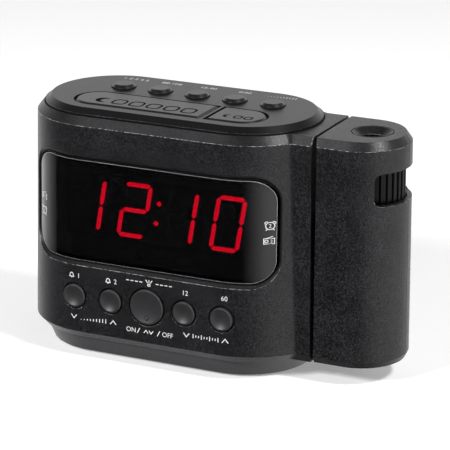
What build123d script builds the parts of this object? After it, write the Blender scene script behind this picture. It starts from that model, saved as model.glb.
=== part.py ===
"""Projection alarm clock: a wrap-around case with a red LED clock, twelve keys and a swivelling arm.

Frame: X to the right, Y to the rear, Z up, origin on the table under the middle of the clock. Millimetres.
"""
from build123d import *
import os
from math import atan2, cos, degrees, radians, sin, sqrt, tan

os.makedirs("parts", exist_ok=True)

# ------------------------------------------------------------------ driving dimensions
foot_stand = 1.0             # rubber feet stand this far out of the base cover

# heights above the table
base_joint_z = 8.6           # parting line between base cover and housing
foot_bevel = 3.3             # height of the bevel above the parting line
deck_z = 110.0               # top of the raised deck
deck_rise = 3.1              # deck above the shoulder round it
shoulder_bevel = 3.5         # height of the bevel under the shoulder

# plan of the case: two rounded ends joined by straight sides, with a short neck on the right
end_spacing = 64.7           # between the centres of the rounded ends
low_r = 36.2                 # end radius at the low crease
high_r = 33.9                # end radius at the high crease, so the walls lean in
foot_r = 33.3                # end radius under the bottom bevel
shoulder_r = 31.1            # end radius at the top of the shoulder bevel
neck_reach = 36.45           # from the centre of the right end to the seam with the arm
neck_fillet = 3.0
wall = 2.6

# projector arm: flat on the seam side, straight front, full-round right end
seam_gap = 1.6               # at the foot of the seam
seam_lean = 0.9              # the arm's flat face leans away from the case up to its high crease
arm_depth_x = 33.5           # from the foot of the flat face to the round end
arm_r = 20.5
arm_crown_r = 18.0           # top outline inside the bevel
arm_heel_r = 19.2            # bottom outline inside the bevel
arm_lift = 0.3               # arm ends this far above the parting line of the case
arm_heel_bevel = 2.7
arm_wall = 2.2
parting_gap = 0.16           # hairline between the two arm shells

# fits
key_gap = 0.35               # round key to its hole, radial
bar_gap = 0.5                # snooze and sleep bars to the deck
drop_in_gap = 0.3            # covers, door and lens to their seats
running_gap = 0.05           # shaft to bearing, radial
float_gap = 0.2              # between boards or inner pieces and what holds them
press_stop = 0.15            # left between a key stem and its switch at full travel

# display window
window_left = 11.3           # lens edge from the left end of the case
window_height = 44.3
window_share = 0.5865        # its height between parting line and shoulder
window_corner_r = 9.5
lens_thickness = 2.2
lens_sunk = 0.8              # lens face below the case wall
moat_floor = 0.9             # flat channel round the lens
moat_depth = 1.7
moat_bevel = 1.5
moat_land = 0.95             # wall left between the bevel and the turn into the neck
flange_reach = 1.5           # hidden flange of the lens behind the wall
flange_thickness = 1.0

# LED clock module
digit_height = 24.6
digit_width = 13.7
digit_slant = 10.2           # degrees
stroke = 1.8
segment_gap = 0.3
digit_pitch = 21.9
digit_shift = 1.65           # middle of the four digits from the middle of the case
digit_rise = 1.2             # and above the middle of the window
module_margin = 2.0          # black face left round the digits
module_depth = 8.7
segment_proud = 0.3
colon_dot_r = 1.0
colon_rise = 4.45

# keys
small_key_r = 5.15
big_key_r = 7.8
key_pitch_share = 0.2705     # of the spacing of the rounded ends
key_row_share = 0.1963       # height of the key row between parting line and shoulder
key_proud = 0.7
key_dish = 1.2               # depth of the hollow in a front key
key_rim = 0.8
key_travel = 1.0
collar_reach = 1.1
collar_thickness = 1.0
stem_r = 2.0
key_bevel = 0.5              # bevel round each key hole
nub_r = 0.9
nub_drop = 5.0               # nub below the middle of the projection key

top_key_pitch_share = 0.2751
top_key_shift = 2.55         # middle of the top row from the middle of the case
top_key_y = 8.6
top_key_proud = 1.7
top_key_bevel = 1.2
bar_y = -12.2
bar_r = 10.3
bar_overhang = 1.8           # centres of the bars' rounded ends beyond those of the case
bar_split = 19.65            # web between the two bars, from the middle of the case
bar_web = 1.3
bar_proud = 0.3
bar_chamfer = 1.4

# raised deck
deck_r = 27.7
deck_ledge = 0.9             # height of the lip round the foot of the deck's bevel
deck_lip = 0.4               # width of that lip
deck_plate = 2.2
rebate_depth = 1.5
rebate_land = 0.35           # land left between the rebate and the bevel
shelf_opening_r = 28.4
skirt_depth = 4.4
hook_width = 6.0
hook_reach = 0.6

# base cover
plinth_r = 28.9
plinth_top_r = 32.0
plinth_draw_in = 2.0         # right end of the plinth nearer than the case end
base_floor = 2.2
joint_shadow = 0.2           # open line between base cover and housing
spigot_height = 3.0
spigot_wall = 1.8
foot_pad_r = 5.5
foot_recess = 1.0
foot_bevel_size = 0.4
foot_reach = 16.2            # feet beyond the centres of the rounded ends
foot_y = 11.0
screw_y = 22.5
screw_r = 1.5
screw_head_r = 2.8
screw_head = 1.8
boss_r = 3.6
case_boss_height = 9.0

# batteries that keep the time during a power cut (two AAA cells)
cell_r = 5.25
cell_length = 44.5
cell_button = 1.0
cell_button_r = 1.9
cell_gap = 0.5
bay_spare = 2.3              # room for a contact at each end of a cell
bay_wall = 1.5
contact_thickness = 0.4
contact_size = 8.0
spring_r = 3.2
door_thickness = 1.6
door_travel = 4.0
door_lip = 1.2
tab_thickness = 1.0
tab_reach = 1.0
tab_spacing = 30.0
grip_count = 4
grip_pitch = 2.0
grip_length = 12.0

# boards, switches and screws that hold the boards
board_thickness = 1.6
board_room = 1.0             # between boards and the bosses under them
post_r = 2.2
post_room = 0.9              # between a post and the flange of the lens
low_post_reach = 7.9         # lower display posts beyond the centres of the rounded ends
high_post_inset = 4.35       # upper display posts inside those centres
board_screw_r = 1.0
board_screw_head_r = 1.9
board_screw_head = 1.2
board_screw_bite = 5.0
screw_tip_room = 1.0
switch_size = 6.0
switch_height = 3.5
plunger_r = 1.7
plunger_height = 0.8
top_board_drop = 13.0        # upper face of the key board below the deck
board_reach = 12.65          # boards beyond the centres of the rounded ends
main_board_depth = 38.0
main_board_y = 7.0
chip_size = 12.0
chip_height = 1.5
shield_size = (24.0, 18.0, 5.0)
capacitor_r = 2.5
capacitor_height = 8.0

# speaker, supply inlet and aerial outlet in the back
speaker_shift = -12.5
speaker_rise = 4.1           # speaker above the middle of the arm pivot
speaker_r = 22.0
speaker_rim = 3.5
speaker_basket = 8.0
magnet_r = 12.0
magnet_thickness = 5.0
cone_thickness = 0.6
cone_depth = 5.6
cone_hub_r = 5.0
seat_wall = 1.5
seat_depth = 3.0
slot_pitch = 4.4
slot_width = 2.0
jack_shift = 23.4
gland_shift = 9.4
inlet_z = 25.0
jack_bore_r = 3.1
jack_shell = 1.2
jack_depth = 9.5
jack_pin_r = 0.65
jack_body = (9.0, 12.0)
gland_r = 2.6
gland_flange_r = 4.0
gland_flange = 0.8
gland_wire_r = 0.9

# pivot between case and arm
pivot_r = 7.0
pivot_bore_r = 4.6
pivot_boss_r = 11.0
pivot_boss = 4.2
pivot_flange_r = 9.6
pivot_flange = 2.0
shoulder_disc_r = 10.0
clip_thickness = 1.0
clip_groove = 0.8
clip_width = 2.4
clip_mouth = 70.0            # degrees left open in the clip
washer_thickness = 0.5
washer_r = 9.2
end_land = 1.0

# optics in the arm
optic_inset = 16.4           # optical axis from the round end
dish_r = 8.5
dish_throat_r = 4.8
dish_lip = 0.3               # flat lip between the cone and the groove round it
dish_groove = 0.5            # width and depth of that groove
dish_depth = 2.5
funnel_r = 10.6
funnel_depth = 6.0
cover_glass_r = 6.2
cover_glass = 1.5
throat_lip = 0.8
wheel_r = 14.1
wheel_ribs = 28
wheel_rib_r = 0.8
wheel_height = 13.1
slot_drop = 13.3             # top of the wheel slot below the shoulder
slot_height = 14.1
slot_half = 16.6
slot_corner_r = 2.8
sill = 0.4                   # guide plates keep this far from the slot
barrel_r = 9.15
barrel_wall = 1.6
barrel_length = 24.5
barrel_tail = 6.3            # barrel below the wheel
barrel_travel = 1.5          # up and down
focus_lens_thickness = 4.0
guide_plate = 2.0
guide_key = 1.2
guide_key_width = 2.4
guide_ring = 1.8
holder_r = 9.0
holder_wall = 2.4
holder_height = 16.0
cradle_plate = 2.0
cradle_ring = 1.4
slide_size = 11.0
slide_thickness = 1.8
condenser_thickness = 4.0
lamp_board_r = 8.0
lamp_size = 3.5
lamp_height = 1.2
arm_boss_r = 4.6
arm_screw_low = 10.1         # above the arm's lower end
arm_screw_high = 11.0        # below the cradle of the slide holder
arm_screw_seat = 6.0         # screw heads sink to this depth behind the parting plane
arm_screw_length = 15.0

# ------------------------------------------------------------------ worked-out places
shelf_z = deck_z - deck_rise
high_crease_z = shelf_z - shoulder_bevel
low_crease_z = base_joint_z + foot_bevel
overall_width = low_r + end_spacing + neck_reach + seam_gap + arm_depth_x
arm_x = overall_width / 2 - arm_depth_x
seam_x = arm_x - seam_gap
left_end_x = -overall_width / 2 + low_r
right_end_x = left_end_x + end_spacing
case_mid_x = (left_end_x + right_end_x) / 2
arm_end_x = overall_width / 2 - arm_r
arm_bottom_z = base_joint_z + arm_lift
arm_low_z = arm_bottom_z + arm_heel_bevel
arm_mid_z = (arm_bottom_z + shelf_z) / 2
window_left_x = left_end_x - low_r + window_left
window_mid_z = base_joint_z + window_share * (shelf_z - base_joint_z)
window_low_z = window_mid_z - window_height / 2
window_high_z = window_mid_z + window_height / 2
key_pitch = key_pitch_share * end_spacing
top_key_pitch = top_key_pitch_share * end_spacing
bar_spacing = end_spacing + 2 * bar_overhang
key_row_z = base_joint_z + key_row_share * (shelf_z - base_joint_z)
floor_z = foot_stand + base_floor


def wall_r(z):
    """Radius of the rounded ends of the leaning wall at a height."""
    return low_r + (high_r - low_r) * (z - low_crease_z) / (high_crease_z - low_crease_z)


def neck_turn(end_r, half_neck, fillet_r):
    """Angle at which the right end turns into the neck fillet, and the reach of the fillet's centre."""
    reach = sqrt((end_r + fillet_r) ** 2 - (half_neck + fillet_r) ** 2)
    return atan2(reach, half_neck + fillet_r), reach


turn_x = right_end_x + wall_r(window_high_z) * sin(neck_turn(wall_r(window_high_z), arm_r, neck_fillet)[0])
window_right_x = turn_x - moat_land - moat_bevel - moat_floor
window_mid_x = (window_left_x + window_right_x) / 2
window_width = window_right_x - window_left_x


def front_y(x, z, inset=0.0):
    """Y of the front wall at a place, on the straight side or on a rounded end."""
    past = max(left_end_x - x, x - right_end_x, 0.0)
    return -sqrt((wall_r(z) - inset) ** 2 - past**2)


# ------------------------------------------------------------------ outlines and small shapes
def stadium(z, radius, right_x=right_end_x):
    """Straight sides and two full-round ends."""
    with BuildSketch(Plane.XY.offset(z)) as outline:
        with Locations(((left_end_x + right_x) / 2, 0)):
            SlotCenterToCenter(right_x - left_end_x, 2 * radius)
    return outline.sketch


def case_outline(z, end_r, half_neck, fillet_r):
    """The stadium with its right end drawn into the flat-ended neck by a concave fillet."""
    turn, reach = neck_turn(end_r, half_neck, fillet_r)
    turn = degrees(turn)
    corner_x = right_end_x + reach
    with BuildSketch(Plane.XY.offset(z)) as outline:
        with BuildLine():
            CenterArc((left_end_x, 0), end_r, 180, 90)
            Line((left_end_x, -end_r), (right_end_x, -end_r))
            CenterArc((right_end_x, 0), end_r, -90, turn)
            CenterArc((corner_x, -(half_neck + fillet_r)), fillet_r, 90 + turn, -turn)
            Line((corner_x, -half_neck), (seam_x, -half_neck))
            Line((seam_x, -half_neck), (seam_x, 0))
            mirror(about=Plane.XZ)
        make_face()
    return outline.sketch


def arm_outline(z, radius, start_x):
    """Flat on the seam side, straight front and back, full-round right end."""
    with BuildSketch(Plane.XY.offset(z)) as outline:
        with BuildLine():
            Line((start_x, 0), (start_x, -radius))
            Line((start_x, -radius), (arm_end_x, -radius))
            CenterArc((arm_end_x, 0), radius, -90, 90)
            mirror(about=Plane.XZ)
        make_face()
    return outline.sketch


def window_outline(margin):
    """Rounded rectangle of the lens seen from the front, grown by a margin."""
    with BuildSketch(Plane.XZ) as outline:
        with Locations((window_mid_x, window_mid_z)):
            RectangleRounded(window_width + 2 * margin, window_height + 2 * margin, window_corner_r + margin)
    return outline.sketch


def wall_skin(margin, outer_inset, inner_inset):
    """A skin that follows the leaning wall, cut to the window outline grown by a margin."""
    z0 = window_low_z - window_corner_r
    z1 = window_high_z + window_corner_r
    with BuildPart() as skin:
        loft([stadium(z0, wall_r(z0) - outer_inset), stadium(z1, wall_r(z1) - outer_inset)], ruled=True)
        inner = [stadium(z0, wall_r(z0) - inner_inset), stadium(z1, wall_r(z1) - inner_inset)]
        loft(inner, ruled=True, mode=Mode.SUBTRACT)
        extrude(window_outline(margin), amount=2 * low_r, mode=Mode.INTERSECT)
    return skin.part


def bar_outline(z, left_x, right_x, inset):
    """One half of the pill shape that the two bars share, between two X stations."""
    with BuildSketch(Plane.XY.offset(z)) as outline:
        with Locations((case_mid_x, bar_y)):
            SlotCenterToCenter(bar_spacing, 2 * (bar_r - inset))
        with Locations(((left_x + right_x) / 2, bar_y)):
            Rectangle(right_x - left_x - 2 * inset, 3 * bar_r, mode=Mode.INTERSECT)
    return outline.sketch


def rod(radius, length, mode=Mode.ADD):
    """Cylinder that starts at the current locations and runs along their Z."""
    Cylinder(radius, length, align=(Align.CENTER, Align.CENTER, Align.MIN), mode=mode)


def block(size_x, size_y, size_z, mode=Mode.ADD):
    """Box that stands on the current locations."""
    Box(size_x, size_y, size_z, align=(Align.CENTER, Align.CENTER, Align.MIN), mode=mode)


def frustum(low_radius, high_radius, height, mode=Mode.ADD):
    """Cone that starts at the current locations and runs along their Z."""
    Cone(low_radius, high_radius, height, align=(Align.CENTER, Align.CENTER, Align.MIN), mode=mode)


def screw(length, shank_r, head_r, head):
    """Pan-head screw standing on its head at the current locations, with a cross recess."""
    recess = 1.2 * head_r
    rod(head_r, head)
    rod(shank_r, length)
    block(recess, recess / 4, head / 2, Mode.SUBTRACT)
    block(recess / 4, recess, head / 2, Mode.SUBTRACT)


def facing(direction, x, y, z):
    """Place whose Z axis runs forward, back, right, left, up or down."""
    turns = {
        "front": (90, 0, 0),
        "back": (-90, 0, 0),
        "right": (0, 90, 0),
        "left": (0, -90, 0),
        "up": (0, 0, 0),
        "down": (180, 0, 0),
    }
    return Location((x, y, z), turns[direction])


def save(builder, name):
    builder.part.label = name
    export_step(builder.part, f"parts/{name}.step")


# ------------------------------------------------------------------ stations shared by several pieces
front_keys = {
    "alarm_1_key": (case_mid_x - 2 * key_pitch, small_key_r),
    "alarm_2_key": (case_mid_x - key_pitch, small_key_r),
    "projection_key": (case_mid_x, big_key_r),
    "hour_key": (case_mid_x + key_pitch, small_key_r),
    "minute_key": (case_mid_x + 2 * key_pitch, small_key_r),
}
top_keys = {
    name: case_mid_x + top_key_shift + (i - 2) * top_key_pitch
    for i, name in enumerate(("memory_key", "band_key", "timer_key", "set_key", "dimmer_key"))
}
split_x = case_mid_x + bar_split
bar_end = bar_spacing / 2 + bar_r
bars = {
    "snooze_bar": (case_mid_x - bar_end, split_x - bar_web / 2 - bar_gap),
    "sleep_bar": (split_x + bar_web / 2 + bar_gap, case_mid_x + bar_end),
}
bar_stem_x = {name: (span[0] + span[1]) / 2 for name, span in bars.items()}

lens_back = wall + float_gap / 2 + flange_thickness
slant = tan(radians(digit_slant))
digit_mid_x = case_mid_x + digit_shift
digit_mid_z = window_mid_z + digit_rise
module_half = (3 * digit_pitch + digit_width + slant * digit_height) / 2 + module_margin
module_high_z = digit_mid_z + digit_height / 2 + module_margin
module_ends = (digit_mid_x - module_half, digit_mid_x + module_half)
module_face_y = max(front_y(end_x, module_high_z, lens_back) for end_x in module_ends) + drop_in_gap
display_board_y = module_face_y + module_depth
display_board_back_y = display_board_y + board_thickness
display_board_low_z = base_joint_z + case_boss_height + board_room
display_post_low_z = window_low_z - flange_reach - post_room - post_r
display_post_high_z = window_high_z + moat_floor + moat_bevel + post_r + float_gap
display_board_high_z = display_post_high_z + post_r
display_posts = (
    (left_end_x - low_post_reach, display_post_low_z),
    (right_end_x + low_post_reach, display_post_low_z),
    (left_end_x + high_post_inset, display_post_high_z),
    (right_end_x - high_post_inset, display_post_high_z),
)
ledge_z = shelf_z + deck_ledge
plate_z = deck_z - deck_plate
top_board_z = deck_z - top_board_drop
top_posts = (
    (case_mid_x - bar_end - 3 * post_r, bar_y / 3),
    (case_mid_x + bar_end + 3 * post_r, bar_y / 3),
    (left_end_x, top_key_y + small_key_r + collar_reach + 2 * post_r),
    (right_end_x, top_key_y + small_key_r + collar_reach + 2 * post_r),
)
plinth_right_x = right_end_x - plinth_draw_in
foot_x = (left_end_x - foot_reach, plinth_right_x + foot_reach)
foot_spots = [(x, side * foot_y) for x in foot_x for side in (-1, 1)]
screw_spots = [(x, side * screw_y) for x in (left_end_x, plinth_right_x) for side in (-1, 1)]
bay_length = cell_length + 2 * bay_spare
bay_width = 4 * cell_r + 3 * cell_gap
bay_top_z = foot_stand + door_thickness + 2 * cell_gap + 2 * cell_r
main_board_z = base_joint_z + case_boss_height + board_room
board_width = end_spacing + 2 * board_reach
main_post_x = board_width / 2 - 2 * post_r
main_post_y = main_board_depth / 2 - 2 * post_r
main_posts = [
    (case_mid_x + end * main_post_x, main_board_y + side * main_post_y) for end in (-1, 1) for side in (-1, 1)
]
bearing_x = seam_x - wall - pivot_boss
speaker_x = case_mid_x + speaker_shift
speaker_z = arm_mid_z + speaker_rise
speaker_seat_y = wall_r(speaker_z + speaker_r) - wall
jack_x = case_mid_x + jack_shift
gland_x = case_mid_x + gland_shift
inlet_y = wall_r(inlet_z)

# ------------------------------------------------------------------ housing
with BuildPart() as housing:
    outer = [
        case_outline(base_joint_z, foot_r, arm_heel_r, neck_fillet),
        case_outline(low_crease_z, low_r, arm_r, neck_fillet),
        case_outline(high_crease_z, high_r, arm_r, neck_fillet),
        case_outline(shelf_z, shoulder_r, arm_crown_r, neck_fillet + arm_r - arm_crown_r),
    ]
    loft(outer, ruled=True)
    shelf_bottom_z = shelf_z - wall
    cavity_top_z = high_crease_z - wall / 2
    cavity = [
        stadium(base_joint_z, foot_r - wall),
        stadium(low_crease_z, low_r - wall),
        stadium(cavity_top_z, wall_r(cavity_top_z) - wall),
        stadium(shelf_bottom_z, shoulder_r - wall / 2),
    ]
    loft(cavity, ruled=True, mode=Mode.SUBTRACT)
    # the neck is hollow behind its seam wall
    neck_depth = seam_x - wall - right_end_x
    neck_height = cavity_top_z - base_joint_z - wall
    with Locations((right_end_x + neck_depth / 2, 0, base_joint_z + wall)):
        block(neck_depth, 2 * arm_crown_r - wall, neck_height, Mode.SUBTRACT)

    # opening and rebate for the deck cover
    extrude(stadium(shelf_bottom_z, shelf_opening_r), amount=wall, mode=Mode.SUBTRACT)
    extrude(stadium(shelf_z - rebate_depth, shoulder_r - rebate_land), amount=rebate_depth, mode=Mode.SUBTRACT)

    def front_rim(before):
        """Edges made since an earlier state that lie on the outer face of the front wall."""
        return [
            edge
            for edge in housing.edges() - before
            if abs(front_y(edge.center().X, edge.center().Z) - edge.center().Y) < moat_depth / 4
        ]

    # channel with a bevelled rim round the lens, and the opening that the lens fills
    before_moat = housing.edges()
    add(wall_skin(moat_floor, -low_r / 4, moat_depth), mode=Mode.SUBTRACT)
    chamfer(front_rim(before_moat), moat_bevel)
    add(wall_skin(drop_in_gap, 0, 2 * wall), mode=Mode.SUBTRACT)

    # bevelled holes of the front keys
    for key_x, key_r in front_keys.values():
        before_hole = housing.edges()
        with Locations(facing("front", key_x, -low_r + 3 * wall, key_row_z)):
            rod(key_r + key_gap, 4 * wall, Mode.SUBTRACT)
        chamfer(front_rim(before_hole), key_bevel)

    # bearing of the projector arm in the neck
    with Locations(facing("right", bearing_x, 0, arm_mid_z)):
        rod(pivot_boss_r, pivot_boss + wall / 2)
        rod(pivot_r + running_gap, pivot_boss + 2 * wall, Mode.SUBTRACT)

    # screw bosses for the base cover, each tied to the wall by a rib
    for spot_x, spot_y in screw_spots:
        side = 1 if spot_y > 0 else -1
        rib_low_z = base_joint_z + spigot_height + float_gap
        rib_length = low_r - wall / 2 - screw_y
        with Locations((spot_x, spot_y, base_joint_z + float_gap)):
            rod(boss_r, case_boss_height - float_gap)
        with Locations((spot_x, spot_y + side * rib_length / 2, rib_low_z)):
            block(2 * screw_r, rib_length, base_joint_z + case_boss_height - rib_low_z)
        with Locations((spot_x, spot_y, base_joint_z)):
            rod(screw_r, case_boss_height - wall, Mode.SUBTRACT)

    # posts that carry the display board
    for post_x, post_z in display_posts:
        length = display_board_y - front_y(post_x, post_z, wall / 2)
        with Locations(facing("front", post_x, display_board_y, post_z)):
            rod(post_r, length)
            rod(board_screw_r + running_gap, board_screw_bite + screw_tip_room, Mode.SUBTRACT)

    # speaker grille with its locating ring
    with Locations(facing("front", speaker_x, wall_r(speaker_z) - wall / 2, speaker_z)):
        rod(speaker_r + float_gap + seat_wall, wall_r(speaker_z) - wall / 2 - speaker_seat_y + seat_depth)
    with Locations(facing("front", speaker_x, speaker_seat_y, speaker_z)):
        rod(speaker_r + float_gap, seat_depth, Mode.SUBTRACT)
    slot_field_r = speaker_r - slot_width
    slot_count = 2 * int(slot_field_r / slot_pitch) + 1
    with BuildSketch(Plane.XZ.offset(-low_r - wall)) as slots:
        for i in range(slot_count):
            offset_x = (i - (slot_count - 1) / 2) * slot_pitch
            with Locations((speaker_x + offset_x, speaker_z)):
                SlotOverall(2 * sqrt(slot_field_r**2 - offset_x**2) + slot_width, slot_width, rotation=90)
    extrude(slots.sketch, amount=4 * wall, mode=Mode.SUBTRACT)

    # supply inlet and the recessed hole of the aerial outlet
    with Locations(facing("back", jack_x, inlet_y - 2 * wall, inlet_z)):
        rod(jack_bore_r + jack_shell + drop_in_gap, 4 * wall, Mode.SUBTRACT)
    with Locations(facing("back", gland_x, inlet_y - 2 * wall, inlet_z)):
        rod(gland_r + running_gap, 4 * wall, Mode.SUBTRACT)
    with Locations(facing("back", gland_x, inlet_y - gland_flange - running_gap, inlet_z)):
        rod(gland_flange_r + float_gap, wall, Mode.SUBTRACT)
save(housing, "housing")

# ------------------------------------------------------------------ display window
with BuildPart() as display_window:
    add(wall_skin(0, lens_sunk, lens_sunk + lens_thickness))
    add(wall_skin(flange_reach, lens_back - flange_thickness, lens_back))
save(display_window, "display_window")

# ------------------------------------------------------------------ deck cover
with BuildPart() as deck_cover:
    cover_foot_z = shelf_z - rebate_depth
    skirt_r = shelf_opening_r - drop_in_gap
    hollow_r = deck_r - deck_plate
    cover_rim_r = shoulder_r - rebate_land - drop_in_gap
    extrude(stadium(cover_foot_z, cover_rim_r), amount=ledge_z - cover_foot_z)
    loft([stadium(ledge_z, cover_rim_r - deck_lip), stadium(deck_z, deck_r)], ruled=True)
    extrude(stadium(cover_foot_z - skirt_depth, skirt_r), amount=skirt_depth)
    hollow_low_z = cover_foot_z - skirt_depth
    extrude(stadium(hollow_low_z, hollow_r), amount=plate_z - hollow_low_z, mode=Mode.SUBTRACT)

    # holes of the five round keys and of the two bars
    with Locations(*[(key_x, top_key_y, plate_z) for key_x in top_keys.values()]):
        rod(small_key_r + key_gap, deck_plate, Mode.SUBTRACT)
    for left_x, right_x in bars.values():
        extrude(bar_outline(plate_z, left_x, right_x, -bar_gap), amount=deck_plate, mode=Mode.SUBTRACT)

    # posts for the key board
    with Locations(*[(post_x, post_y, top_board_z) for post_x, post_y in top_posts]):
        rod(post_r, plate_z - top_board_z)
        rod(board_screw_r + running_gap, board_screw_bite + screw_tip_room, Mode.SUBTRACT)

    # four hooks that snap under the shelf
    hook_height = shelf_z - wall - hollow_low_z - float_gap
    for hook_x in (left_end_x + hook_width, right_end_x - hook_width):
        for side in (1, -1):
            with Locations((hook_x, side * (skirt_r - hook_reach), hollow_low_z)):
                block(hook_width, 4 * hook_reach + drop_in_gap, hook_height)
save(deck_cover, "deck_cover")

# ------------------------------------------------------------------ base cover
plinth_z = base_joint_z - joint_shadow
spigot_r = foot_r - wall - drop_in_gap
door_plate_x = bay_length + 2 * door_lip
door_plate_y = bay_width + 2 * door_lip
tab_top_z = foot_stand + door_thickness
tab_spots = [(case_mid_x + end * tab_spacing / 2, side) for end in (-1, 1) for side in (-1, 1)]

with BuildPart() as base_cover:
    outer = [stadium(foot_stand, plinth_r, plinth_right_x), stadium(plinth_z, plinth_top_r, plinth_right_x)]
    loft(outer, ruled=True)
    extrude(stadium(plinth_z, spigot_r), amount=spigot_height)
    inner = [
        stadium(floor_z, plinth_r - spigot_wall, plinth_right_x),
        stadium(plinth_z, spigot_r - spigot_wall, plinth_right_x),
    ]
    loft(inner, ruled=True, mode=Mode.SUBTRACT)
    extrude(stadium(plinth_z, spigot_r - spigot_wall), amount=spigot_height, mode=Mode.SUBTRACT)

    # battery bay, open through the floor, with a thicker floor round its door
    with Locations((case_mid_x, 0, floor_z)):
        block(bay_length + 2 * bay_wall, bay_width + 2 * bay_wall, bay_top_z + bay_wall - floor_z)
    with Locations((case_mid_x + door_travel / 2, 0, floor_z)):
        block(door_plate_x + door_travel + 2 * bay_wall, door_plate_y + 2 * bay_wall, door_thickness / 2)
    with Locations((case_mid_x, 0, foot_stand)):
        block(bay_length, bay_width, bay_top_z - foot_stand, Mode.SUBTRACT)

    # seat of the door, longer than the door by its travel
    with Locations((case_mid_x + door_travel / 2, 0, foot_stand)):
        block(
            door_plate_x + door_travel + 2 * drop_in_gap,
            door_plate_y + 2 * drop_in_gap,
            door_thickness + float_gap,
            Mode.SUBTRACT,
        )
    # grooves that hold the door's tabs, open downwards where the tabs come out
    for tab_x, side in tab_spots:
        tab_y = side * door_plate_y / 2
        groove = (door_travel + 2 * drop_in_gap, 2 * (tab_reach + drop_in_gap))
        with Locations((tab_x + door_travel / 2, tab_y, tab_top_z - tab_thickness - float_gap)):
            block(groove[0] + door_travel, groove[1], tab_thickness + 2 * float_gap, Mode.SUBTRACT)
        with Locations((tab_x + door_travel, tab_y, foot_stand)):
            block(*groove, door_thickness, Mode.SUBTRACT)

    # pillars with counterbored screw holes
    with Locations(*[(spot_x, spot_y, floor_z) for spot_x, spot_y in screw_spots]):
        rod(boss_r, base_joint_z - floor_z)
    with Locations(*[(spot_x, spot_y, foot_stand) for spot_x, spot_y in screw_spots]):
        rod(screw_r + float_gap, base_joint_z - foot_stand, Mode.SUBTRACT)
        rod(screw_head_r + float_gap, screw_head + float_gap, Mode.SUBTRACT)

    # seats of the feet, and posts that carry the main board
    with Locations(*[(spot_x, spot_y, foot_stand) for spot_x, spot_y in foot_spots]):
        rod(foot_pad_r + float_gap, foot_recess, Mode.SUBTRACT)
    with Locations(*[(post_x, post_y, floor_z) for post_x, post_y in main_posts]):
        rod(post_r, main_board_z - floor_z)
    with Locations(*[facing("down", post_x, post_y, main_board_z) for post_x, post_y in main_posts]):
        rod(board_screw_r + running_gap, board_screw_bite + screw_tip_room, Mode.SUBTRACT)
save(base_cover, "base_cover")

with BuildPart() as battery_door:
    with Locations((case_mid_x, 0, foot_stand)):
        block(door_plate_x, door_plate_y, door_thickness)
    with Locations(
        *[(tab_x, side * door_plate_y / 2, tab_top_z - tab_thickness) for tab_x, side in tab_spots]
    ):
        block(door_travel, 2 * tab_reach, tab_thickness)
    # grip grooves
    for i in range(grip_count):
        grip_x = case_mid_x - bay_length / 2 + (i + 2) * grip_pitch
        with Locations((grip_x, 0, foot_stand)):
            block(grip_pitch / 2, grip_length, door_thickness / 3, Mode.SUBTRACT)
save(battery_door, "battery_door")

cell_z = bay_top_z - cell_gap - cell_r
cell_body = cell_length - cell_button
cells = {side: side * (cell_r + cell_gap / 2) for side in (1, -1)}

with BuildPart() as battery_cells:
    for side, cell_y in cells.items():
        toward = "right" if side > 0 else "left"
        with Locations(facing(toward, case_mid_x - side * cell_body / 2, cell_y, cell_z)):
            rod(cell_r, cell_body)
            rod(cell_button_r, cell_length)
save(battery_cells, "battery_cells")

with BuildPart() as battery_contacts:
    for side, cell_y in cells.items():
        for end in (1, -1):
            plate_x = case_mid_x + end * (bay_length / 2 - float_gap)
            toward = "left" if end > 0 else "right"
            with Locations(facing(toward, plate_x, cell_y, cell_z)):
                block(contact_size, contact_size, contact_thickness)
                if end == -side:
                    frustum(spring_r, spring_r / 2, bay_spare - float_gap)
save(battery_contacts, "battery_contacts")

with BuildPart() as rubber_feet:
    with Locations(*[(spot_x, spot_y, 0) for spot_x, spot_y in foot_spots]):
        rod(foot_pad_r, foot_stand + foot_recess)
    chamfer(rubber_feet.edges().group_by(Axis.Z)[0], foot_bevel_size)
save(rubber_feet, "rubber_feet")

with BuildPart() as base_screws:
    with Locations(*[(spot_x, spot_y, foot_stand + float_gap) for spot_x, spot_y in screw_spots]):
        screw(
            base_joint_z + case_boss_height - wall - foot_stand - boss_r / 2,
            screw_r - running_gap,
            screw_head_r,
            screw_head,
        )
save(base_screws, "base_screws")

# ------------------------------------------------------------------ display board and LED clock module
with BuildPart() as display_board:
    board_mid_z = (display_board_low_z + display_board_high_z) / 2
    with Locations(facing("back", case_mid_x, display_board_y, board_mid_z)):
        block(board_width, display_board_high_z - display_board_low_z, board_thickness)
    with Locations(*[facing("back", post_x, display_board_y, post_z) for post_x, post_z in display_posts]):
        rod(board_screw_r + float_gap, board_thickness, Mode.SUBTRACT)
save(display_board, "display_board")

digit_x = [digit_mid_x + (i - 1.5) * digit_pitch for i in range(4)]


def segment_loop(middle_x, x0, z0, x1, z1):
    """Six-sided bar between two nodes of a digit, its ends pointed, leant to the right."""
    half = stroke / 2
    length = sqrt((x1 - x0) ** 2 + (z1 - z0) ** 2)
    ux, uz = (x1 - x0) / length, (z1 - z0) / length
    tip = segment_gap
    loop = [
        (tip, 0),
        (tip + half, half),
        (length - tip - half, half),
        (length - tip, 0),
        (length - tip - half, -half),
        (tip + half, -half),
    ]
    upright = [(x0 + ux * a - uz * b, z0 + uz * a + ux * b) for a, b in loop]
    return [(middle_x + x + slant * z, digit_mid_z + z) for x, z in upright]


half_w = (digit_width - stroke) / 2
half_h = (digit_height - stroke) / 2
digit_bars = (
    (-half_w, half_h, half_w, half_h),
    (half_w, 0, half_w, half_h),
    (half_w, -half_h, half_w, 0),
    (-half_w, -half_h, half_w, -half_h),
    (-half_w, -half_h, -half_w, 0),
    (-half_w, 0, -half_w, half_h),
    (-half_w, 0, half_w, 0),
)

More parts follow.
